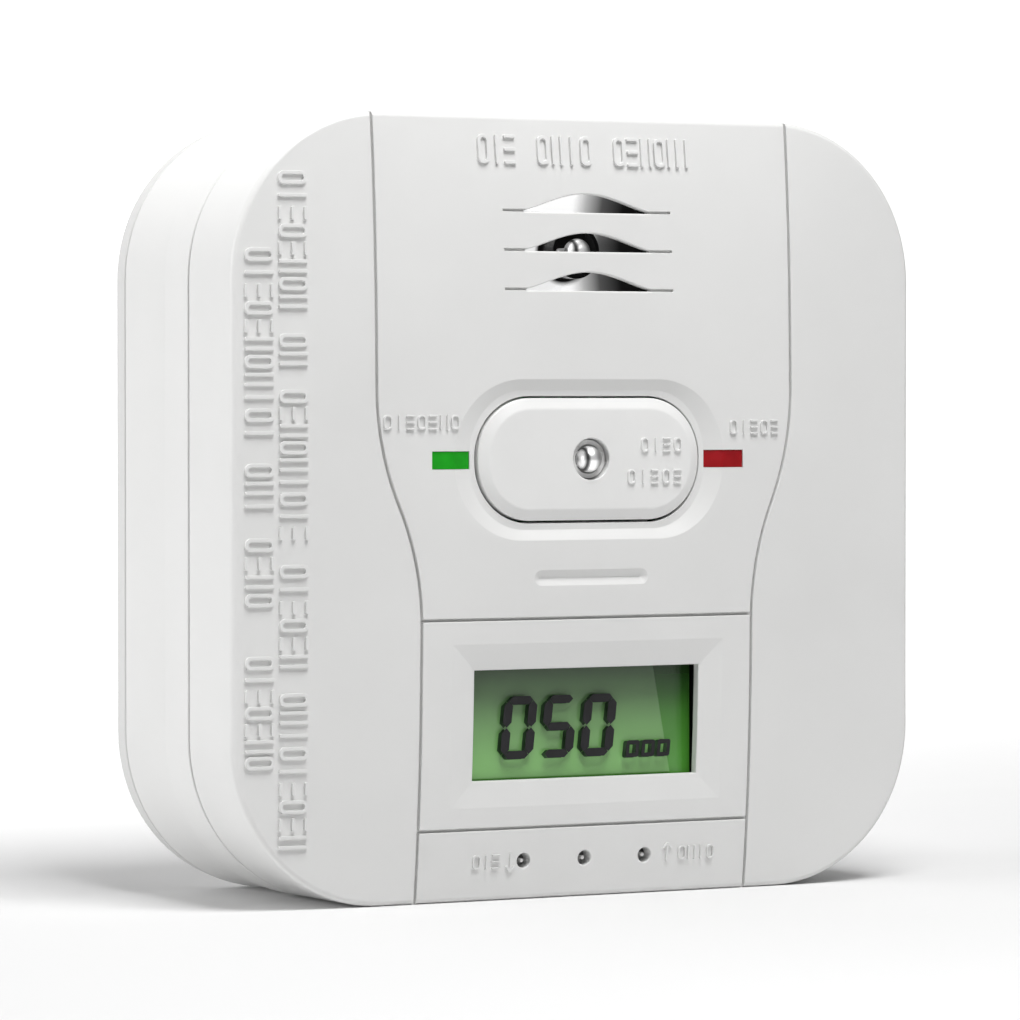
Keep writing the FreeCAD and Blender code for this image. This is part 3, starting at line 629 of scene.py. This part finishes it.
def linear(code):
    values = [int(code[i:i + 2], 16) / 255 for i in (1, 3, 5)]
    return [v / 12.92 if v <= 0.04045 else ((v + 0.055) / 1.055) ** 2.4 for v in values] + [1.0]


def addNode(material, kind, settings=None, values=None, links=None):
    node = material.node_tree.nodes.new(kind)
    for name, value in (settings or {}).items():
        setattr(node, name, value)
    for socket, value in (values or {}).items():
        node.inputs[socket].default_value = value
    for socket, source in (links or {}).items():
        material.node_tree.links.new(source, node.inputs[socket])
    return node


# noise scale for a grain of so many millimetres
def perMm(size):
    return 1 / (size * mm)


def newMaterial(name, ior=1.5, metallic=0.0, coat=0.0, coatRoughness=0.1, transmission=0.0, subsurface=0.0):
    material = bpy.data.materials.new(name)
    material.use_nodes = True
    shader = material.node_tree.nodes["Principled BSDF"]
    shader.inputs["Metallic"].default_value = metallic
    if metallic < 0.5:
        shader.inputs["IOR"].default_value = ior
    shader.inputs["Coat Weight"].default_value = coat
    shader.inputs["Coat Roughness"].default_value = coatRoughness
    shader.inputs["Transmission Weight"].default_value = transmission
    shader.inputs["Subsurface Weight"].default_value = subsurface
    shader.inputs["Subsurface Scale"].default_value = 0.001
    return material, shader


def rampBetween(material, factor, first, second, start=0.3, end=0.7):
    ramp = addNode(material, "ShaderNodeValToRGB", links={"Fac": factor})
    ramp.color_ramp.elements[0].position = start
    ramp.color_ramp.elements[1].position = end
    ramp.color_ramp.elements[0].color = linear(first)
    ramp.color_ramp.elements[1].color = linear(second)
    return ramp.outputs["Color"]


# tint that drifts slowly, roughness that varies with it and a fine relief
def finish(name, look):
    basics = {key: look[key] for key in ("ior", "metallic", "coat", "coatRoughness", "subsurface")
              if key in look}
    material, shader = newMaterial(name, **basics)
    place = addNode(material, "ShaderNodeTexCoord").outputs["Object"]
    drift = addNode(material, "ShaderNodeTexNoise", values={"Scale": perMm(look["drift"]), "Detail": 3.0},
                    links={"Vector": place}).outputs["Fac"]
    stretched = addNode(material, "ShaderNodeMapping", values={"Scale": look.get("stretch", (1, 1, 1))},
                        links={"Vector": place}).outputs["Vector"]
    grain = addNode(material, "ShaderNodeTexNoise", values={"Scale": perMm(look["grain"]), "Detail": 2.0},
                    links={"Vector": stretched}).outputs["Fac"]
    colour = rampBetween(material, drift, *look["colours"])
    low, high = look["roughness"]
    rough = addNode(material, "ShaderNodeMapRange", values={"To Min": low, "To Max": high},
                    links={"Value": drift})
    relief = addNode(material, "ShaderNodeBump", links={"Height": grain},
                     values={"Strength": look["relief"], "Distance": look["grain"] * mm / 4})
    links = material.node_tree.links
    links.new(colour, shader.inputs["Base Color"])
    links.new(rough.outputs["Result"], shader.inputs["Roughness"])
    links.new(relief.outputs["Normal"], shader.inputs["Normal"])
    return material


looks = {
    # ABS, injection moulded in a finely spark-eroded tool: a soft sheen and a grain just short of visible
    "absCoverMoulded": {"colours": ("#dcdcdb", "#e1e1e0"), "drift": 30, "grain": 0.32, "relief": 0.05,
                        "roughness": (0.3, 0.36), "ior": 1.54},
    "absHousingMoulded": {"colours": ("#e0e0df", "#e4e4e3"), "drift": 30, "grain": 0.35, "relief": 0.06,
                          "roughness": (0.38, 0.48), "ior": 1.54},
    "absPlateMoulded": {"colours": ("#d2d2d1", "#d7d7d6"), "drift": 30, "grain": 0.35, "relief": 0.06,
                        "roughness": (0.4, 0.5), "ior": 1.54},
    # the button's tool is polished further, so its edges catch more light
    "absButtonMoulded": {"colours": ("#e2e2e1", "#e7e7e6"), "drift": 20, "grain": 0.25, "relief": 0.03,
                         "roughness": (0.28, 0.34), "ior": 1.54},
    # acrylic light pipes, moulded clear with dye: deep colour under a glossy skin
    "acrylicGreenMoulded": {"colours": ("#0f9212", "#16a81a"), "drift": 3, "grain": 0.8, "relief": 0.04,
                            "roughness": (0.2, 0.28), "ior": 1.49, "subsurface": 0.1},
    "acrylicRedMoulded": {"colours": ("#8c060f", "#a40e18"), "drift": 3, "grain": 0.8, "relief": 0.04,
                          "roughness": (0.2, 0.28), "ior": 1.49, "subsurface": 0.1},
    # liquid crystal segments printed black and matt, seen through the polariser
    "segmentBlackPrinted": {"colours": ("#0e0d10", "#161519"), "drift": 2, "grain": 0.2, "relief": 0.03,
                            "roughness": (0.4, 0.5)},
    # painted shadow of the segments on the panel, in dark green
    "segmentShadowGreen": {"colours": ("#1c3a18", "#23451f"), "drift": 4, "grain": 0.2, "relief": 0.02,
                           "roughness": (0.5, 0.6)},
    # glossy white styrene cup round the lamp
    "styreneCupMoulded": {"colours": ("#cfcfce", "#d8d8d7"), "drift": 3, "grain": 0.3, "relief": 0.03,
                          "roughness": (0.18, 0.26), "coat": 0.3},
    "epoxyLampMoulded": {"colours": ("#e8e0b4", "#efe9c4"), "drift": 1.5, "grain": 0.2, "relief": 0.03,
                         "roughness": (0.12, 0.2), "coat": 0.5},
    "acrylicLightPanel": {"colours": ("#86b76a", "#93c277"), "drift": 8, "grain": 0.4, "relief": 0.05,
                          "roughness": (0.3, 0.4), "ior": 1.49},
    # black ABS without gloss, so the display and horn sit in the dark
    "absBlackMoulded": {"colours": ("#151515", "#1b1b1b"), "drift": 12, "grain": 0.3, "relief": 0.12,
                        "roughness": (0.5, 0.62)},
    "acetalSwitchMoulded": {"colours": ("#d2d2cd", "#dadad6"), "drift": 6, "grain": 0.25, "relief": 0.05,
                            "roughness": (0.32, 0.4)},
    "nylonSwitchMoulded": {"colours": ("#1f1f20", "#28282a"), "drift": 4, "grain": 0.2, "relief": 0.1,
                           "roughness": (0.4, 0.52)},
    "epoxyChipMoulded": {"colours": ("#222225", "#2b2b2e"), "drift": 3, "grain": 0.12, "relief": 0.2,
                         "roughness": (0.5, 0.62)},
    "resistorGlazedCeramic": {"colours": ("#26272b", "#303238"), "drift": 1, "grain": 0.15, "relief": 0.05,
                              "roughness": (0.2, 0.3), "coat": 0.4},
    "ferriteSintered": {"colours": ("#35353a", "#404045"), "drift": 1.5, "grain": 0.15, "relief": 0.35,
                        "roughness": (0.55, 0.7)},
    "siliconeSealMoulded": {"colours": ("#1e1e1e", "#282828"), "drift": 4, "grain": 0.3, "relief": 0.1,
                            "roughness": (0.55, 0.68)},
    "sensorCapMoulded": {"colours": ("#2c2c2f", "#363639"), "drift": 4, "grain": 0.25, "relief": 0.1,
                         "roughness": (0.45, 0.55)},
    # layered silicone strip, dark where its carbon layers lie
    "siliconeStripLayered": {"colours": ("#4b3355", "#8a6f93"), "drift": 0.25, "grain": 0.12, "relief": 0.1,
                             "roughness": (0.55, 0.65), "stretch": (8, 1, 1)},
    # rolled brass coloured near-black as painted shade deep in the horn's throat, its fine lines still to be
    # seen
    "brassPaintedShade": {"colours": ("#14110c", "#1e1912"), "drift": 4, "grain": 0.1, "relief": 0.12,
                       "roughness": (0.36, 0.46), "coat": 0.2, "stretch": (0.06, 1, 1)},
    # tinned and nickel-plated sheet, lightly brushed before plating
    "steelTinned": {"colours": ("#b6b6b4", "#c6c6c4"), "drift": 3, "grain": 0.1, "relief": 0.1, "metallic": 1.0,
                    "roughness": (0.28, 0.4), "stretch": (0.1, 1, 1)},
    "steelNickelPlated": {"colours": ("#c2bfb8", "#d0cdc6"), "drift": 3, "grain": 0.1, "relief": 0.08,
                          "metallic": 1.0, "roughness": (0.16, 0.26), "stretch": (0.1, 1, 1)},
    "steelZincPlated": {"colours": ("#aeb0b4", "#c3c5c9"), "drift": 1.2, "grain": 0.15, "relief": 0.12,
                        "metallic": 1.0, "roughness": (0.26, 0.38)},
    "steelPressed": {"colours": ("#b4b5b7", "#c4c5c7"), "drift": 4, "grain": 0.12, "relief": 0.1,
                     "metallic": 1.0, "roughness": (0.24, 0.34), "stretch": (1, 0.08, 1)},
    "capacitorSleeve": {"colours": ("#2a2c44", "#343651"), "drift": 3, "grain": 0.3, "relief": 0.05,
                        "roughness": (0.22, 0.3), "coat": 0.3},
}
finishes = {name: finish(name, look) for name, look in looks.items()}
print("plain finishes made")


# reflective liquid crystal panel, green from below and greyer at the top in painted reflection and shade
# a darker strip near the bottom, and by its right edge a deeper band of painted dark reflection
def makeDisplayPanel():
    material, shader = newMaterial("displayGlassPolished", ior=1.52, coat=0.5, coatRoughness=0.03)
    d = display
    place = addNode(material, "ShaderNodeTexCoord").outputs["Object"]
    axes = addNode(material, "ShaderNodeSeparateXYZ", links={"Vector": place}).outputs
    low, high = (faceZ + z * mm for z in d["z"])
    height = addNode(material, "ShaderNodeMapRange", values={"From Min": low, "From Max": high},
                     links={"Value": axes["Z"]}).outputs["Result"]
    tint = addNode(material, "ShaderNodeValToRGB", links={"Fac": height})
    panelReflectionShades = ((0.0, "#5a9a40"), (0.025, "#5f9c48"), (0.035, "#3c7428"), (0.05, "#82bd6c"), (0.45, "#72a062"),
              (0.72, "#64865a"), (0.93, "#4b5f47"), (1.0, "#3c4a3a"))
    for position, code in panelReflectionShades[1:-1]:
        tint.color_ramp.elements.new(position)
    for element, (position, code) in zip(tint.color_ramp.elements, panelReflectionShades):
        element.position = position
        element.color = linear(code)
    deep = addNode(material, "ShaderNodeValToRGB", links={"Fac": height})
    darkReflectionShades = ((0.0, "#4a8c32"), (0.5, "#3c7428"), (0.8, "#264a1c"), (1.0, "#0c180a"))
    for position, code in darkReflectionShades[1:-1]:
        deep.color_ramp.elements.new(position)
    for element, (position, code) in zip(deep.color_ramp.elements, darkReflectionShades):
        element.position = position
        element.color = linear(code)
    # the painted reflection band's edge runs from upper left to lower right
    lean = addNode(material, "ShaderNodeMath", {"operation": "MULTIPLY_ADD"}, {1: 0.18, 2: -0.00012},
                   {0: addNode(material, "ShaderNodeMath", {"operation": "SUBTRACT"}, {1: low},
                               {0: axes["Z"]}).outputs[0]}).outputs[0]
    across = addNode(material, "ShaderNodeMath", {"operation": "ADD"}, links={0: axes["X"], 1: lean}).outputs[0]
    darkReflectionBand = addNode(material, "ShaderNodeMapRange", values={"From Min": 14.55 * mm, "From Max": 14.7 * mm},
                   links={"Value": across}).outputs["Result"]
    both = addNode(material, "ShaderNodeMix", {"data_type": "RGBA"}, {}, {"Factor": darkReflectionBand})
    # painted glow: the band gives off a little light in its own dark green
    glow = addNode(material, "ShaderNodeMath", {"operation": "MULTIPLY"}, {1: 0.2}, {0: darkReflectionBand}).outputs[0]
    links = material.node_tree.links
    links.new(deep.outputs["Color"], shader.inputs["Emission Color"])
    links.new(glow, shader.inputs["Emission Strength"])
    links.new(tint.outputs["Color"], both.inputs[6])
    links.new(deep.outputs["Color"], both.inputs[7])
    links.new(both.outputs[2], shader.inputs["Base Color"])
    smear = addNode(material, "ShaderNodeTexNoise", values={"Scale": perMm(6), "Detail": 3.0},
                    links={"Vector": place}).outputs["Fac"]
    rough = addNode(material, "ShaderNodeMapRange", values={"To Min": 0.18, "To Max": 0.26},
                    links={"Value": smear})
    links.new(rough.outputs["Result"], shader.inputs["Roughness"])
    return material


# chromium-plated metal; its colour across x is painted reflection, bright at the left and dark at the right
# of its hollow, where it faces the case; dark gives painted shade round the middle, glow a painted glow
def makePolished(name, codes, centre, across, dark=None, roughness=(0.05, 0.1), glow=0.0):
    material, shader = newMaterial(name, metallic=1.0)
    place = addNode(material, "ShaderNodeTexCoord").outputs["Object"]
    axes = addNode(material, "ShaderNodeSeparateXYZ", links={"Vector": place}).outputs
    span = addNode(material, "ShaderNodeMapRange", links={"Value": axes["X"]},
                   values={"From Min": across[0] * mm, "From Max": across[1] * mm}).outputs["Result"]
    ramp = addNode(material, "ShaderNodeValToRGB", links={"Fac": span})
    for position, code in codes[1:-1]:
        ramp.color_ramp.elements.new(position)
    for element, (position, code) in zip(ramp.color_ramp.elements, codes):
        element.position = position
        element.color = linear(code)
    colour = ramp.outputs["Color"]
    links = material.node_tree.links
    # painted shade: near-black within the first radius of the middle, fading out by the second
    if dark:
        middle = addNode(material, "ShaderNodeVectorMath", {"operation": "DISTANCE"}, {},
                         {0: addNode(material, "ShaderNodeCombineXYZ", {}, {},
                                     {"X": axes["X"], "Z": axes["Z"]}).outputs[0]})
        middle.inputs[1].default_value = (0, 0, faceZ + centre * mm)
        share = addNode(material, "ShaderNodeMapRange", links={"Value": middle.outputs["Value"]},
                        values={"From Min": dark[0] * mm, "From Max": dark[1] * mm}).outputs["Result"]
        both = addNode(material, "ShaderNodeMix", {"data_type": "RGBA"}, {}, {"Factor": share})
        both.inputs[6].default_value = linear(dark[2])
        links.new(colour, both.inputs[7])
        colour = both.outputs[2]
    links.new(colour, shader.inputs["Base Color"])
    # painted glow: the painted colours also give off light
    if glow:
        links.new(colour, shader.inputs["Emission Color"])
        shader.inputs["Emission Strength"].default_value = glow
    smear = addNode(material, "ShaderNodeTexNoise", values={"Scale": perMm(4), "Detail": 2.0},
                    links={"Vector": place}).outputs["Fac"]
    rough = addNode(material, "ShaderNodeMapRange", values={"To Min": roughness[0], "To Max": roughness[1]},
                    links={"Value": smear})
    links.new(rough.outputs["Result"], shader.inputs["Roughness"])
    return material


finishes["displayGlass"] = makeDisplayPanel()
# painted reflection in the horn: white at the left, fading to near-black at the right
hornPaintedReflections = ((0, "#ffffff"), (0.54, "#fafafa"), (0.61, "#b0b0b0"), (0.69, "#505050"), (0.79, "#141414"),
              (1, "#060606"))
# painted highlights on the balls: two bright bands with painted shade between and towards the right
ballPaintedHighlights = ((0, "#a8a8a8"), (0.03, "#ffffff"), (0.12, "#f0f0f0"), (0.2, "#4a4a4a"), (0.26, "#5a5a5a"),
              (0.36, "#ffffff"), (0.52, "#f6f6f6"), (0.72, "#9a9a9a"), (1, "#5c5c5c"))
finishes["hornChromePaintedReflection"] = makePolished(
    "hornChromePaintedReflection", hornPaintedReflections, horn["z"], (-horn["radius"], horn["radius"]), (*horn["dark"], "#0c0c0c"),
    glow=0.85)
finishes["ballChromePaintedHighlights"] = makePolished(
    "ballChromePaintedHighlights", ballPaintedHighlights, button["z"], (-1.75, 1.75), roughness=(0.3, 0.36), glow=0.25)


# glass-epoxy laminate under green solder mask; the copper tracks show as lighter green lines
def makeBoard():
    material, shader = newMaterial("laminateSolderMasked", ior=1.5, coat=0.5, coatRoughness=0.15)
    place = addNode(material, "ShaderNodeTexCoord").outputs["Object"]
    cells = addNode(material, "ShaderNodeTexVoronoi", {"feature": "DISTANCE_TO_EDGE", "distance": "EUCLIDEAN"},
                    {"Scale": perMm(4.0), "Randomness": 0.35}, {"Vector": place}).outputs["Distance"]
    track = rampBetween(material, cells, "#2f7a45", "#145028", 0.05, 0.09)
    links = material.node_tree.links
    links.new(track, shader.inputs["Base Color"])
    relief = addNode(material, "ShaderNodeBump", values={"Strength": 0.3, "Distance": 0.00005},
                     links={"Height": cells})
    links.new(relief.outputs["Normal"], shader.inputs["Normal"])
    shader.inputs["Roughness"].default_value = 0.35
    return material


# enamelled copper wire of 0.25 mm, wound side by side
def makeWound():
    material, shader = newMaterial("copperEnamelled", metallic=1.0)
    place = addNode(material, "ShaderNodeTexCoord").outputs["Object"]
    turns = addNode(material, "ShaderNodeTexWave", {"bands_direction": "Y"}, {"Scale": perMm(0.25) / 20},
                    {"Vector": place}).outputs["Fac"]
    colour = rampBetween(material, turns, "#7a3416", "#d27a45", 0.1, 0.8)
    relief = addNode(material, "ShaderNodeBump", values={"Strength": 0.6, "Distance": 0.0001},
                     links={"Height": turns})
    links = material.node_tree.links
    links.new(colour, shader.inputs["Base Color"])
    links.new(relief.outputs["Normal"], shader.inputs["Normal"])
    shader.inputs["Roughness"].default_value = 0.3
    return material


# stainless wire, woven at 0.3 mm
def makeGauze():
    material, shader = newMaterial("steelWoven", metallic=0.3)
    place = addNode(material, "ShaderNodeTexCoord").outputs["Object"]
    waves = [addNode(material, "ShaderNodeTexWave", {"bands_direction": axis}, {"Scale": perMm(0.3) / 20},
                     {"Vector": place}).outputs["Fac"] for axis in ("X", "Z")]
    woven = addNode(material, "ShaderNodeMath", {"operation": "MULTIPLY"}, {},
                    {0: waves[0], 1: waves[1]}).outputs[0]
    colour = rampBetween(material, woven, "#8e8e8e", "#e6e6e6", 0.1, 0.7)
    relief = addNode(material, "ShaderNodeBump", values={"Strength": 0.5, "Distance": 0.00008},
                     links={"Height": woven})
    links = material.node_tree.links
    links.new(colour, shader.inputs["Base Color"])
    links.new(relief.outputs["Normal"], shader.inputs["Normal"])
    shader.inputs["Roughness"].default_value = 0.35
    return material


# shrunk plastic jacket on a dry cell: two plain bands under gloss
def makeCell():
    material, shader = newMaterial("cellJacketPrinted", coat=0.7, coatRoughness=0.08)
    place = addNode(material, "ShaderNodeTexCoord").outputs["Object"]
    axes = addNode(material, "ShaderNodeSeparateXYZ", links={"Vector": place}).outputs
    along = addNode(material, "ShaderNodeMapRange", values={"From Min": -0.02525, "From Max": 0.02525},
                    links={"Value": axes["X"]}).outputs["Result"]
    colour = rampBetween(material, along, "#1f4e82", "#c9ccd0", 0.72, 0.725)
    links = material.node_tree.links
    links.new(colour, shader.inputs["Base Color"])
    shader.inputs["Roughness"].default_value = 0.28
    return material


finishes["laminateSolderMasked"] = makeBoard()
finishes["copperEnamelled"] = makeWound()
finishes["steelWoven"] = makeGauze()
finishes["cellJacketPrinted"] = makeCell()
print("special finishes made")


# new pieces take their place
settle(cover, "case", "cover_plastic", finishes["absCoverMoulded"], "front_cover")
settle(faceMarks, "case", "cover_plastic", finishes["absCoverMoulded"])
settle(testButton, "button", "button_plastic", finishes["absButtonMoulded"], "test_button")
settle(buttonMarks, "button", "button_plastic", finishes["absButtonMoulded"])
settle(displayPanel, "case", "display_glass", finishes["displayGlass"], "lcd_glass")
settle(displaySegments, "case", "display_glass", finishes["segmentBlackPrinted"])
settle(displayShadows, "case", "display_glass", finishes["segmentShadowGreen"])
windowPieces = (("operateWindow", "power_window", "green_lens", "acrylicGreenMoulded"),
                ("alarmWindow", "alarm_window", "red_lens", "acrylicRedMoulded"))
for lens, (name, node, slotName, finishName) in zip(lenses, windowPieces):
    lens.name = name
    settle(smooth(lens, 30), "case", slotName, finishes[finishName], node)

# CAD nodes that stay
nodeFinishes = {
    "absHousingMoulded": ("rear_housing",),
    "absPlateMoulded": ("wall_plate",),
    "ballChromePaintedHighlights": ("status_lamp", "horn_ball"),
    "hornChromePaintedReflection": ("horn_bowl", "horn_throat_ring"),
    "styreneCupMoulded": ("status_lamp_cup",),
    "epoxyLampMoulded": ("power_led", "alarm_led"),
    "acrylicLightPanel": ("lcd_backlight",),
    "absBlackMoulded": ("lcd_holder", "sounder_base"),
    "siliconeStripLayered": ("lcd_contact_strips",),
    "brassPaintedShade": ("piezo_disc",),
    "laminateSolderMasked": ("circuit_board",),
    "epoxyChipMoulded": ("microcontroller", "amplifier_chip"),
    "capacitorSleeve": ("capacitors",),
    "resistorGlazedCeramic": ("chip_resistors",),
    "ferriteSintered": ("boost_coil_core",),
    "copperEnamelled": ("boost_coil_winding",),
    "nylonSwitchMoulded": ("tact_switch_body", "tact_switch_plunger"),
    "steelTinned": ("power_switch_body",),
    "acetalSwitchMoulded": ("power_switch_slider",),
    "steelPressed": ("co_sensor_can",),
    "siliconeSealMoulded": ("co_sensor_seal",),
    "sensorCapMoulded": ("co_sensor_cap",),
    "steelWoven": ("inlet_gauze",),
    "cellJacketPrinted": ("battery_cell_top", "battery_cell_middle", "battery_cell_bottom"),
    "steelNickelPlated": ("battery_plus_plates", "battery_minus_springs"),
    "steelZincPlated": ("case_screws", "board_screws"),
}
for finishName, names in nodeFinishes.items():
    for name in names:
        for place in bpy.data.objects[name].material_slots:
            place.material = finishes[finishName]
print("nodes finished")


# floor, light and camera
studio = {"front": -1.0, "back": 1.3, "halfWidth": 2.2, "height": 1.6, "cove": 0.4, "lit": (0.0, 0.45),
          "glow": 0.85, "world": 0.15}
lights = {"topSoftbox": {"power": 2.6, "size": 0.25, "at": (0.0, -0.22, 0.48), "aim": (0, 0, 0.06)},
          "leftSoftbox": {"power": 3.9, "size": 0.4, "at": (-1.0, 0.1, 0.25), "aim": (0, 0, 0.05)}}

# a paper sweep: floor, cove and backdrop in one
clearPick()
bpy.ops.mesh.primitive_grid_add(x_subdivisions=1, y_subdivisions=30, size=2)
sweep = bpy.context.object
sweep.name = "paperSweep"
cove = studio["cove"]
for point in sweep.data.vertices:
    point.co.x *= studio["halfWidth"]
    run = studio["front"] + (point.co.y + 1) / 2 * (studio["back"] - studio["front"] + studio["height"])
    turn = min(max(run - (studio["back"] - cove), 0) / cove, math.pi / 2)
    rise = max(run - (studio["back"] - cove) - cove * math.pi / 2, 0)
    point.co.y = min(run, studio["back"] - cove) + cove * math.sin(turn)
    point.co.z = cove * (1 - math.cos(turn)) + rise
work(sweep)
bpy.ops.object.shade_smooth()
# matt white paper, lit from behind towards the back, so it stays white there
paper, paperShader = newMaterial("paperMatt")
paperShader.inputs["Base Color"].default_value = linear("#e2e2e2")
paperShader.inputs["Roughness"].default_value = 0.95
paperShader.inputs["Specular IOR Level"].default_value = 0.0
paperShader.inputs["Emission Color"].default_value = linear("#ffffff")
paperPlace = addNode(paper, "ShaderNodeSeparateXYZ",
                     links={"Vector": addNode(paper, "ShaderNodeTexCoord").outputs["Object"]}).outputs
litFrom, litAll = studio["lit"]
paperGlow = addNode(paper, "ShaderNodeMapRange", links={"Value": paperPlace["Y"]},
                    values={"From Min": litFrom, "From Max": litAll, "To Max": studio["glow"]})
paper.node_tree.links.new(paperGlow.outputs["Result"], paperShader.inputs["Emission Strength"])
sweep.data.materials.append(paper)

scene = bpy.context.scene
world = bpy.data.worlds.new("studioWorld")
scene.world = world
world.use_nodes = True
world.node_tree.nodes["Background"].inputs["Color"].default_value = (1, 1, 1, 1)
world.node_tree.nodes["Background"].inputs["Strength"].default_value = studio["world"]
for name, light in lights.items():
    data = bpy.data.lights.new(name, "AREA")
    data.energy = light["power"]
    data.size = light["size"]
    lamp = bpy.data.objects.new(name, data)
    scene.collection.objects.link(lamp)
    lamp.location = light["at"]
    lamp.rotation_euler = (Vector(light["aim"]) - Vector(light["at"])).to_track_quat("-Z", "Y").to_euler()

camera = {"x": -359.347, "y": -622.454, "z": 15.468, "turn": -29.2218, "tilt": -1.267, "lens": 188.466}
cameraData = bpy.data.cameras.new("camera")
cameraData.lens = camera["lens"]
cameraData.sensor_width = 36
cameraData.clip_start = 0.01
cameraObject = bpy.data.objects.new("camera", cameraData)
scene.collection.objects.link(cameraObject)
cameraObject.location = (camera["x"] * mm, faceY + camera["y"] * mm, faceZ + camera["z"] * mm)
cameraObject.rotation_euler = (math.radians(90 + camera["tilt"]), 0, math.radians(camera["turn"]))
scene.camera = cameraObject
scene.view_settings.view_transform = "Standard"
print("studio ready")
